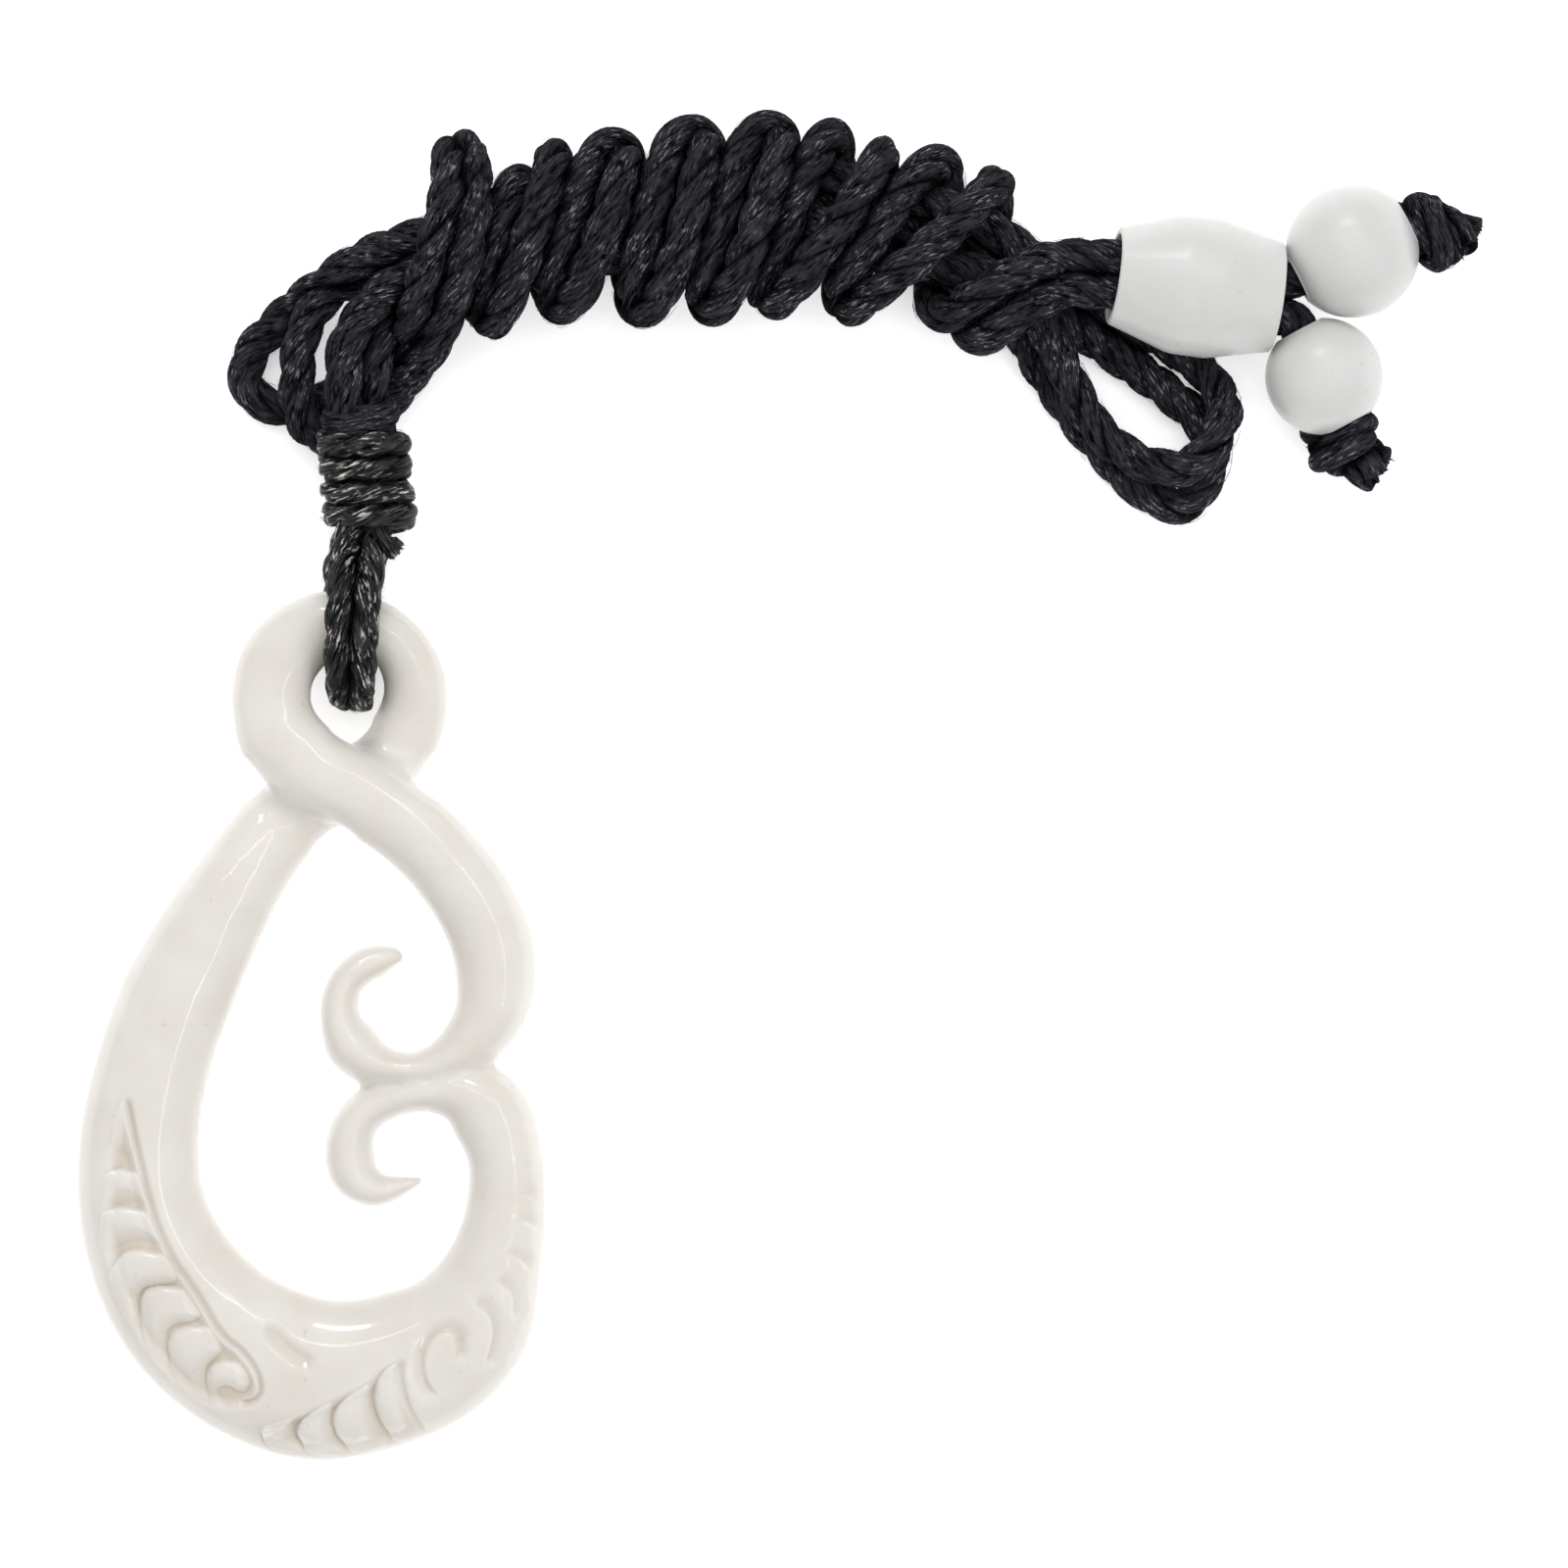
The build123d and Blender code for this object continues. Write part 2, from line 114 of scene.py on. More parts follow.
RIGHT_LOOP_B = [
    (34.0, 38.4, 3.6), (35.7, 37.7, 3.05), (37.3, 35.9, 2.75), (38.5, 33.2, 2.6), (39.7, 30.9, 2.65),
    (41.2, 29.3, 2.55), (43.1, 28.5, 2.5), (44.8, 28.5, 2.9), (46.2, 29.9, 3.0), (46.6, 31.7, 2.2),
    (45.8, 33.4, 1.2), (44.2, 34.6, 0.95), (42.4, 35.6, 0.95), (40.4, 36.9, 0.95), (38.7, 38.0, 1.35),
    (37.0, 38.95, 2.5), (35.5, 40.2, 3.4),
]
CORE_BACK_A = [
    (33.4, 40.4, 2.6), (28.0, 42.0, 2.6), (21.0, 42.7, 2.6), (13.0, 41.5, 2.7), (8.0, 40.4, 3.9),
]
CORE_BACK_B = [
    (33.4, 41.4, 3.5), (28.0, 43.2, 3.4), (21.0, 44.1, 3.4), (13.0, 42.4, 3.2), (8.0, 39.9, 2.4),
]
LEFT_LOOP_A = [
    (6.2, 40.5, 4.0), (4.6, 39.95, 4.0), (2.5, 39.2, 3.5), (0.7, 38.0, 2.8), (-0.75, 36.95, 2.1),
    (-2.05, 35.8, 1.5), (-3.15, 34.7, 1.1), (-3.6, 33.5, 0.95), (-3.3, 32.4, 0.95), (-2.4, 31.85, 0.95),
    (-1.1, 31.6, 0.95), (0.4, 32.0, 0.95), (2.3, 32.8, 0.95), (3.7, 33.5, 0.95), (4.35, 34.1, 1.0),
]
LEFT_LOOP_B = [
    (6.2, 38.9, 2.6), (4.7, 38.7, 2.5), (2.9, 38.4, 2.4), (1.3, 37.7, 2.7), (0.25, 36.8, 3.1),
    (-0.45, 35.5, 3.2), (-0.75, 34.0, 3.1), (-0.85, 32.3, 2.8), (-0.55, 30.9, 2.2), (0.2, 30.1, 1.4),
    (1.3, 30.1, 0.95), (2.5, 30.8, 0.95), (3.6, 31.8, 1.0),
]
FIRST_WRAP_A = [
    (4.75, 34.9, 2.6), (5.2, 36.2, 4.7), (5.9, 38.2, 6.1), (6.55, 40.4, 6.6), (7.1, 42.4, 6.3),
    (7.15, 43.8, 5.4),
]
FIRST_WRAP_B = [
    (4.6, 32.8, 1.7), (5.6, 34.0, 3.0), (6.6, 35.5, 4.5), (7.5, 37.5, 5.7), (8.1, 39.7, 6.4),
    (8.4, 41.9, 6.3), (8.4, 43.6, 5.4),
]
LAST_FOOT_A = (31.7, 36.6, 3.2)
LAST_FOOT_B = (33.3, 35.55, 2.9)
TAIL_A = [
    (32.4, 36.2, 4.2), (33.5, 36.9, 5.4), (35.0, 37.9, 5.8), (36.4, 38.6, 5.5), (37.7, 39.05, 4.7),
    (38.99, 39.2, 4.75), (40.7, 39.15, 4.6), (48.6, 38.13, 3.75), (49.95, 37.98, 3.6),
    (51.1, 38.6, 3.6), (53.6, 39.85, 3.5), (56.6, 41.35, 3.0),
]
TAIL_B = [
    (34.0, 35.05, 3.9), (35.0, 35.4, 5.2), (36.0, 36.2, 5.3), (36.8, 36.8, 5.0), (37.7, 37.4, 4.6),
    (38.76, 37.58, 4.75), (40.7, 37.33, 4.6), (48.4, 36.32, 3.8), (49.96, 36.12, 3.6),
    (50.55, 35.0, 3.5), (51.5, 33.3, 3.35), (52.95, 30.5, 2.55),
]

# Pairs of wraps, left to right, in mm: the foot of each pair, the crest of its left strand,
# the step from there to the crest of its right strand, and how wide the turns bow
WRAPS = [
    # foot x, foot y, crest x, crest y, step x, step y, bow at the crest, bow at the foot
    (4.90, 33.7, 6.85, 44.70, 0.80, 0.25, 0.35, 0.0),
    (8.85, 36.4, 10.65, 43.05, 1.60, 1.25, 0.20, 0.4),
    (12.40, 37.1, 15.40, 44.88, 0.40, -0.75, 0.60, 0.8),
    (16.60, 37.0, 19.40, 45.60, 0.55, -0.80, 0.60, 0.9),
    (20.10, 37.15, 23.25, 45.75, 0.55, -0.85, 0.65, 0.7),
    (23.20, 37.4, 26.55, 45.30, 2.35, -0.90, 0.30, 0.5),
    (27.10, 37.15, 31.95, 44.00, 2.75, -1.10, 0.45, 0.5),
]
WRAP_MIDDLE = 3.55
WRAP_RISE = 2.65
FOOT_STEP = (0.35, -0.45)
PASS_SPREAD = 0.40
CREST_BOW = 1.7
FOOT_BOW = 0.5
STACK = 0.35
POINTS_PER_HALF = 7
TURN_SWELL = 1.035
BOW_LATENESS = 2.2

# The bail: two waxed cords side by side, from the binding through the eye and back
BAIL_STAGGER = -0.06
BAIL = [
    # x, y, z, half the distance between the two
    (2.95, 26.6, 3.3, 0.62),
    (2.75, 25.6, 3.5, 0.66),
    (2.50, 24.2, 4.1, 0.68),
    (2.30, 22.9, 5.3, 0.66),
    (2.20, 21.2, 5.85, 0.62),
    (2.10, 19.3, 5.75, 0.60),
    (2.05, 17.6, 4.9, 0.48),
    (2.00, 16.55, 3.1, 0.38),
    (1.90, 17.4, 1.35, 0.46),
    (1.80, 18.9, 0.85, 0.60),
    (1.75, 21.0, 0.75, 0.62),
    (1.80, 22.9, 0.9, 0.62),
    (2.10, 24.3, 1.7, 0.62),
    (2.80, 25.7, 2.4, 0.62),
    (2.95, 26.6, 2.6, 0.62),
]

# Binding: thread wound round the cords between two places on its axis, in mm
BINDING_BOTTOM = np.array([3.046, 25.04, 2.8])
BINDING_TOP = np.array([2.462, 31.715, 4.0])
# start and end as shares of the axis, turns, half width, half depth, phase, points a turn, seed
THREAD_WINDING = (0.06, 0.80, 4.13, 1.72, 1.08, -2.4, 14, 17)
COLLAR_WINDING = (0.895, 0.925, 1.06, 1.58, 1.22, 1.4, 22, 27)
WINDING_SQUARENESS = 2.4
WINDING_SWELL = 1.035
# sizes of the winding's waves, the first as a share of its width and two along the axis in mm,
# and their pace
WINDING_WAVES = [(0.02, 0.9), (0.08, 1.0), (0.05, 2.3)]
COLLAR_MIDDLE = 0.91
COLLAR_HALF_WIDTH = 0.66
COLLAR_HALF_THICKNESS = 0.40
CORE_ENDS = (0.02, 0.98)
CORE_HALF_WIDTH = 1.75
CORE_HALF_DEPTH = 1.15
CUT_THREAD = [(3.3, 25.1, 4.1), (3.7, 24.8, 4.35), (4.05, 24.5, 4.3), (4.3, 24.25, 4.1)]
CUT_THREAD_D = 1.1
CUT_THREAD_LAY = 2.6

# Beads, in mm, with the turn of the bore in plan and its tilt in degrees
BARREL_CENTRE = (44.95, 37.7, 4.15)
BARREL_TURN = -7.4
BARREL_TILT = -6.0
BARREL_OUTLINE = [
    # distance from the bore's axis, place along it, rounding
    (2.14, -4.2, 0.10), (2.47, -4.225, 0.16), (3.56, -0.95, 0.40),
    (3.56, 0.95, 0.14), (2.80, 4.225, 0.16), (2.14, 4.2, 0.10),
]
ROUND_BEADS = [
    # arm, diameter, length, centre, turn, seed
    ("a", 6.8, 6.3, (52.98, 39.52, 3.6), 27.0, 5),
    ("b", 6.0, 5.4, (51.55, 33.14, 3.3), -62.0, 6),
]
BEAD_BORE = 1.2
BEAD_RIM = [(0.16, 0.01), (0.05, 0.08), (0.0, 0.25)]
BEAD_WOBBLE = 0.004

# Stopper knots, in mm and degrees
KNOTS = [
    # arm, start, turn, turn of the tail, radius of the turns, tail, phase, hand, lean, seed
    ("a", (55.75, 39.95, 2.95), 24.0, -38.0, 1.24, 0.75, 200, 1, 0.35, 5),
    ("b", (52.0, 31.2, 2.5), -66.0, -34.0, 1.08, 0.70, 20, -1, 0.0, 9),
]

# How the cord runs in a knot, along and across its axis in mm: in, round in turns, and out
KNOT_ENTRY = [(-0.8, 0.0, 0.0), (0.5, 0.0, 0.0), (1.6, 0.1, 0.1)]
# points of the turns, degrees from one to the next, where they begin and their step back
KNOT_TURNS = (14, 41, 2.3, 0.13)
KNOT_EXIT = [(1.4, 0.2, -0.4), (2.3, 0.2, -0.1)]
TAIL_START = 0.8
TAIL_DROP = 0.06

# Cut ends, in mm: where their tufts begin, and radii along a tuft and along a loose fibre
TUFT_ROOT = 0.4
TUFTS_EVERY = 4
TUFT_RADII = np.array([0.34, 0.33, 0.28, 0.19, 0.06])
FIBRE_RADII = np.array([0.05, 0.045, 0.04, 0.03, 0.015])

# Pendant: even cells of its mesh and how deep its carving is, in mm
CELL = 0.24
CELL_SMOOTHING = 6
CARVING_REFINES = 2
CARVING_STEP = 0.015944
CARVING_LEFT = -12.95
CARVING_TOP = 0.425
PANEL_DEPTH = 0.44
PANEL_RAMP = 0.75
PAD_ROUNDING = 0.85
GROOVE_BANK = 2.1
GROOVE_RUNOUT = 0.7
GROOVE_REACH = 1.2
PANEL_MARGIN = 0.4
GROOVE_MARGIN = 0.5
UPRIGHT = 0.35

# Valleys beside the upper strand where the two strands cross: line and reach, in mm
CROSSING_FILLETS = [
    ([(-2.6, 12.6), (-0.8, 10.9), (1.0, 9.9)], 1.35),
    ([(2.1, 14.75), (3.9, 13.8), (5.7, 12.75)], 1.3),
]
CROSSING_FLOOR = 0.5
CROSSING_ROUNDS = 45

# Carved forms, places on a grid of CARVING_STEP, right and down from its upper left corner
FERN_EDGE = [
    (243, 330), (262, 420), (283, 500), (302, 580), (335, 680), (385, 780), (430, 840), (475, 910),
    (510, 975), (545, 1020), (590, 1050), (635, 1110),
]
PANELS = [
    # the fern panel down the left side
    [
        (222, 235), *FERN_EDGE, (657, 1165), (648, 1215), (610, 1250), (520, 1265), (430, 1220),
        (360, 1160), (300, 1090), (250, 1020), (215, 940), (180, 860), (155, 770), (140, 680),
        (145, 580), (150, 470), (165, 400), (185, 320),
    ],
    # the leaves along the bottom
    [
        (640, 1310), (700, 1275), (830, 1228), (900, 1190), (975, 1160), (1030, 1105),
        (1085, 1080), (1115, 1075), (1115, 1130), (1135, 1220), (1185, 1325), (1080, 1380),
        (930, 1405), (790, 1400), (680, 1385), (640, 1350),
    ],
]
PADS = [
    # outline, then the way down the pad's slope
    ([(222, 235), (250, 442), (168, 408), (190, 300)], (0.0, 1.0)),
    ([(158, 482), (210, 470), (264, 490), (280, 535), (294, 583), (240, 578), (150, 590),
      (150, 540)], (0.0, 1.0)),
    ([(146, 612), (200, 592), (275, 602), (300, 625), (325, 680), (340, 712), (250, 700),
      (150, 740), (142, 670)], (0.0, 1.0)),
    ([(180, 775), (210, 740), (260, 728), (345, 742), (375, 785), (392, 836), (330, 846),
      (276, 858), (254, 890), (250, 950), (235, 985), (205, 930), (180, 880), (168, 830)],
     (-0.3, 0.95)),
    ([(262, 890), (285, 858), (330, 846), (405, 850), (440, 900), (465, 945), (430, 965),
      (380, 970), (347, 1000), (340, 1050), (345, 1110), (310, 1080), (275, 1030), (255, 955)],
     (-0.3, 0.95)),
    ([(343, 1050), (366, 995), (418, 974), (488, 973), (515, 1018), (532, 1060), (500, 1083),
      (472, 1120), (465, 1165), (488, 1225), (440, 1212), (395, 1178), (355, 1120)],
     (-0.4, 0.9)),
    ([(470, 1150), (490, 1105), (530, 1084), (578, 1088), (607, 1122), (618, 1165), (602, 1194),
      (572, 1194), (546, 1176), (520, 1180), (508, 1200), (515, 1225), (550, 1250), (500, 1247),
      (475, 1212)], (-0.3, 0.9)),
    ([(652, 1300), (700, 1285), (762, 1262), (748, 1330), (772, 1388), (690, 1378), (656, 1345)],
     (1.0, 0.2)),
    ([(772, 1290), (822, 1247), (888, 1215), (872, 1290), (888, 1350), (925, 1396), (800, 1394),
      (760, 1335)], (1.0, 0.2)),
    ([(892, 1240), (930, 1200), (1008, 1155), (1002, 1220), (1024, 1300), (1068, 1370),
      (942, 1396), (895, 1345), (880, 1290)], (1.0, 0.2)),
    ([(1020, 1160), (1048, 1112), (1092, 1090), (1098, 1140), (1120, 1230), (1170, 1322),
      (1080, 1366), (1036, 1300), (1012, 1225)], (1.0, 0.2)),
]
GROOVES = [
    # depth, half width, softness of the left bank and of the right bank, then the line
    (0.30, 0.16, 1.0, 1.0, [
        (225, 245), *FERN_EDGE, (655, 1165), (645, 1210), (605, 1228), (565, 1222)]),
    (0.24, 0.26, 1.0, 1.7, [
        (655, 985), (695, 990), (722, 1020), (750, 1050), (790, 1076), (830, 1090)]),
    (0.24, 0.15, 1.0, 2.6, [
        (1300, 1040), (1285, 1000), (1240, 978), (1200, 1000), (1170, 1050), (1163, 1110),
        (1180, 1170), (1215, 1205)]),
    (0.26, 0.20, 1.6, 1.0, [(1268, 1000), (1290, 1030), (1292, 1065), (1275, 1085)]),
    (0.24, 0.16, 2.6, 1.0, [(1330, 890), (1385, 925), (1408, 985), (1395, 1055), (1372, 1110)]),
    (0.20, 0.15, 2.4, 1.0, [(1400, 820), (1450, 850), (1472, 900), (1462, 960)]),
    (0.17, 0.15, 2.4, 1.0, [(1432, 735), (1490, 758), (1512, 800)]),
    (0.15, 0.15, 2.2, 1.0, [(1468, 640), (1510, 640), (1540, 668)]),
    (0.13, 0.15, 2.2, 1.0, [(1476, 555), (1512, 556), (1532, 576)]),
    (0.10, 0.14, 2.0, 1.0, [(1480, 468), (1512, 476)]),
    (0.20, 0.15, 1.0, 2.0, [(1110, 1075), (1098, 1140), (1120, 1230), (1160, 1300), (1185, 1330)]),
]

# Lights, in metres and watts
LIT_PLACE = (0.024, 0.012, 0.0)
LIGHTS = [
    # name, place, length, width, power, shows in gloss
    ("overhead", (0.0, 0.20, 0.62), 0.50, 0.50, 1.40, False),
    ("left_fill", (-0.45, 0.05, 0.35), 0.30, 0.30, 0.4, False),
    ("lower_fill", (0.40, -0.30, 0.35), 0.30, 0.30, 1.0, False),
    ("upper_window", (-0.03, 0.42, 0.33), 0.20, 0.05, 0.5, True),
    ("upper_strip", (0.03, 0.26, 0.46), 0.42, 0.012, 0.16, True),
    ("right_strip", (0.24, 0.06, 0.46), 0.42, 0.012, 0.16, True),
]
DAYLIGHT = 0.46
FLOOR_REACH = 3.0


def placed(name, data):
    """An object in the scene."""
    item = bpy.data.objects.new(name, data)
    scene.collection.objects.link(item)
    return item


# Camera
camera_data = bpy.data.cameras.new("camera")
camera_data.sensor_width = SENSOR_WIDTH
camera_data.lens = SENSOR_WIDTH * (CAMERA_HEIGHT - PENDANT_MIDDLE) / VIEW_WIDTH
camera_data.clip_start = 0.01
camera_data.clip_end = 10.0
camera = placed("camera", camera_data)
camera.location = (VIEW_CENTRE[0] * MM, VIEW_CENTRE[1] * MM, CAMERA_HEIGHT * MM)
scene.camera = camera


# Routes of the two arms
def half_turn(start, end, rise, spread, bow, late):
    """Half a turn from start to end, over the front or, with a negative rise, behind."""
    u = (np.arange(POINTS_PER_HALF) + 0.5) / POINTS_PER_HALF
    swing = np.sin(math.pi * u)
    middle = (np.array(start) + end) / 2
    reach = (np.array(end) - start) * np.array([TURN_SWELL, TURN_SWELL, 1.0]) / 2
    points = middle - np.cos(math.pi * u)[:, None] * reach
    points[:, 0] += spread * swing + bow * np.sin(math.pi * (u if late else 1 - u) ** BOW_LATENESS)
    points[:, 2] += rise * swing
    return points.tolist()


def wrap_points(side, last_foot):
    """Control points of one arm's turns round the hank, after its first front pass."""
    points = []
    right = side > 0
    level = WRAP_MIDDLE + STACK * side
    for index, (foot_x, foot_y, crest_x, crest_y, step_x, step_y, over, under) in enumerate(WRAPS):
        crest = (crest_x + right * step_x, crest_y + right * step_y, level)
        if index:
            foot = (foot_x + right * FOOT_STEP[0], foot_y + right * FOOT_STEP[1], level)
            bow = under * FOOT_BOW if right else -over
            points += half_turn(foot, crest, WRAP_RISE - STACK, side * PASS_SPREAD, bow, not right)
        if index + 1 < len(WRAPS):
            following = WRAPS[index + 1]
            end = (following[0] + right * FOOT_STEP[0], following[1] + right * FOOT_STEP[1], level)
            bow = -following[7] if right else over * CREST_BOW
        else:
            end = last_foot
            bow = 0.0 if right else over * CREST_BOW
        points += half_turn(crest, end, STACK - WRAP_RISE, side * PASS_SPREAD, bow, right)
    return points


ARM_A = START_A + CORE_OUT_A + RIGHT_LOOP_A + CORE_BACK_A + LEFT_LOOP_A + FIRST_WRAP_A
ARM_A += wrap_points(-1, LAST_FOOT_A) + TAIL_A
ARM_B = START_B + CORE_OUT_B + RIGHT_LOOP_B + CORE_BACK_B + LEFT_LOOP_B + FIRST_WRAP_B
ARM_B += wrap_points(1, LAST_FOOT_B) + TAIL_B


# Lines, frames and strands
def smooth_line(points):
    """Points of the smooth line that a route's control points give, in mm."""
    curve = bpy.data.curves.new("route", "CURVE")
    curve.dimensions = "3D"
    spline = curve.splines.new("NURBS")
    spline.points.add(len(points) - 1)
    for place, point in zip(spline.points, points):
        place.co = (*(np.array(point) * MM), 1.0)
    spline.order_u = 3
    spline.use_endpoint_u = True
    spline.resolution_u = 12
    holder = bpy.data.objects.new("route", curve)
    mesh = bpy.data.meshes.new_from_object(holder)
    line = np.array([vertex.co for vertex in mesh.vertices]) / MM
    bpy.data.meshes.remove(mesh)
    bpy.data.objects.remove(holder)
    return line


def distances(line):
    """The distance along the line of each of its points."""
    return np.append(0.0, np.cumsum(np.linalg.norm(np.diff(line, axis=0), axis=1)))


def resample(line, step):
    """The line with points at equal steps, and the distance along it of each."""
    line = line[np.append(True, np.diff(distances(line)) > 1e-7)]
    reach = distances(line)
    count = max(8, int(round(reach[-1] / step)))
    places = np.linspace(0, reach[-1], count + 1)
    return np.stack([np.interp(places, reach, line[:, k]) for k in range(3)], axis=1), places


def unit(vectors):
    return vectors / np.maximum(np.linalg.norm(vectors, axis=-1, keepdims=True), 1e-12)


def turning_frames(points):
    """Tangents of the line and two directions across it that don't twist."""
    tangents = unit(np.gradient(points, axis=0))
    normals = np.zeros_like(points)
    normals[0] = unit(np.cross(tangents[0], [0.0, 0.0, 1.0]))
    for k in range(1, len(points)):
        carried = normals[k - 1] - tangents[k] * np.dot(normals[k - 1], tangents[k])
        normals[k] = unit(carried)
    return tangents, normals, np.cross(tangents, normals)


def wander(places, uneven, seed):
    """A slow random change along the line, of a size and over a length in mm."""
    size, period = uneven
    rng = np.random.default_rng(seed)
    knots = rng.uniform(-1, 1, int(places[-1] / period) + 4)
    return size * np.interp(places / period, np.arange(len(knots)), knots)


def tube_part(centres, outward, radii, sides, slant, caps=True, widths=None, girth=None):
    """A tube round the centres, its seam on the side away from outward, oval with widths."""
    tangents = unit(np.gradient(centres, axis=0))
    out = unit(outward - tangents * np.sum(outward * tangents, axis=1, keepdims=True))
    side = np.cross(tangents, out)
    angles = np.linspace(-math.pi, math.pi, sides, endpoint=False)
    count = len(centres)
    high = np.broadcast_to(np.transpose(radii), (sides, count)).T
    wide = high if widths is None else np.broadcast_to(widths, (sides, count)).T
    points = centres[:, None, :] + (np.cos(angles) * high)[:, :, None] * out[:, None, :]
    points = points + (np.sin(angles) * wide)[:, :, None] * side[:, None, :]
    reach = distances(centres)
    i = np.arange(count - 1)[:, None]
    j = np.arange(sides)[None, :]
    nxt = (j + 1) % sides
    corners = [i * sides + j, i * sides + nxt, (i + 1) * sides + nxt, (i + 1) * sides + j]
    faces = [tuple(face) for face in np.stack(corners, axis=-1).reshape(-1, 4).tolist()]
    mean = girth or float(np.mean(high))
    turn = np.append(angles, math.pi)

    def uv(row, col):
        across = turn[col] * mean + slant * reach[row]
        return np.stack(np.broadcast_arrays(reach[row] * 0.1, across * 0.1), axis=-1)

    uvs = np.stack([uv(i, j), uv(i, j + 1), uv(i + 1, j + 1), uv(i + 1, j)], axis=-2)
    uvs = [tuple(pair) for pair in uvs.reshape(-1, 2).tolist()]
    if caps:
        faces.append(tuple(range(sides - 1, -1, -1)))
        faces.append(tuple((count - 1) * sides + k for k in range(sides)))
        uvs += [(0.0, 0.0)] * (2 * sides)
    return points.reshape(-1, 3), faces, uvs


def ridges(count, sides, step, slant, mean, seed):
    """Uneven yarns on a strand: a random relief that runs along the fibres."""
    rng = np.random.default_rng(seed)
    wide = 4 * sides
    rows = int(count * step / RIDGE_LENGTH) + 4
    grid = rng.uniform(-1, 1, (rows, wide))
    grid = (grid + np.roll(grid, 1, axis=1)) / 1.4
    row = np.arange(count) * step / RIDGE_LENGTH
    low = row.astype(int)
    share = (row - low)[:, None]
    drift = slant * np.arange(count) * step / (2 * math.pi * mean) * sides
    col = (np.arange(sides)[None, :] + drift[:, None]) % wide
    left = col.astype(int)
    part = col - left
    right = (left + 1) % wide

    def level(line):
        return grid[line[:, None], left] * (1 - part) + grid[line[:, None], right] * part

    return level(low) * (1 - share) + level(low + 1) * share


def rope_parts(line, diameter, lay, step, seed, hand=1, plies=3, sides=16, rough=0.045,
               splay=0.0):
    """The strands of a laid cord along a line, opening by splay at its end."""
    points, places = resample(line, step)
    _, normals, binormals = turning_frames(points)
    ply_r = diameter / 2 * STRAND_RADIUS
    out_r = diameter / 2 * STRAND_REACH
    slant = hand * 2 * math.pi * out_r / lay
    laid = hand * 2 * math.pi * places / lay + wander(places, LAY_SWING, seed)
    opening = 1 + splay * np.clip(1 - (places[-1] - places) / SPLAY_LENGTH, 0, 1)
    parts = []
    for ply in range(plies):
        theta = laid + 2 * math.pi * ply / plies + wander(places, STRAND_SWING, seed + 5 * ply + 1)
        outward = np.cos(theta)[:, None] * normals + np.sin(theta)[:, None] * binormals
        thick = 1 + wander(places, STRAND_SWELL, seed + 11 * ply + 3)
        spread = out_r * (1 + wander(places, STRAND_STRAY, seed + 7 * ply + 5)) * opening
        relief = ridges(len(points), sides, step, slant, ply_r, seed + 13 * ply + 2)
        radii = ply_r * thick[:, None] + rough * relief
        parts.append(tube_part(points + outward * spread[:, None], outward, radii, sides, slant))
    return parts


def nearest_gap(spots, others, at=None, along=None):
    """How far each spot is from the nearest of the others that isn't on the same pass."""
    gaps = np.empty(len(spots))
    for low in range(0, len(spots), 4000):
        part = spots[low:low + 4000]
        square = (part**2).sum(axis=1)[:, None] + (others**2).sum(axis=1) - 2 * part @ others.T
        if along is not None:
            square[np.abs(at[low:low + 4000, None] - along) < SAME_PASS] = 1e9
        gaps[low:low + 4000] = np.sqrt(np.maximum(square.min(axis=1), 0))
    return gaps


def cleft_shade_depths(parts, line, diameter, step, others=()):
    """How deep each point of a laid cord lies between strands or against other cord: painted shade."""
    radius = diameter / 2
    own, places = resample(line, step)
    beside = [(own[::2], places[::2])] + [(resample(other, 2 * step)[0], None) for other in others]
    depths = []
    for spots, _, _ in parts:
        ring = np.arange(len(spots)) * len(own) // len(spots)
        from_axis = np.linalg.norm(spots - own[ring], axis=1) / radius
        depth = np.clip((VALLEY_TOP - from_axis) / VALLEY_DEPTH, 0, 1)
        for others_spots, along in beside:
            gap = nearest_gap(spots, others_spots, places[ring], along) - radius
            depth = np.maximum(depth, np.clip(1 - gap / CLEFT_WIDTH, 0, 1))
        depths.append(depth)
    return np.concatenate(depths)


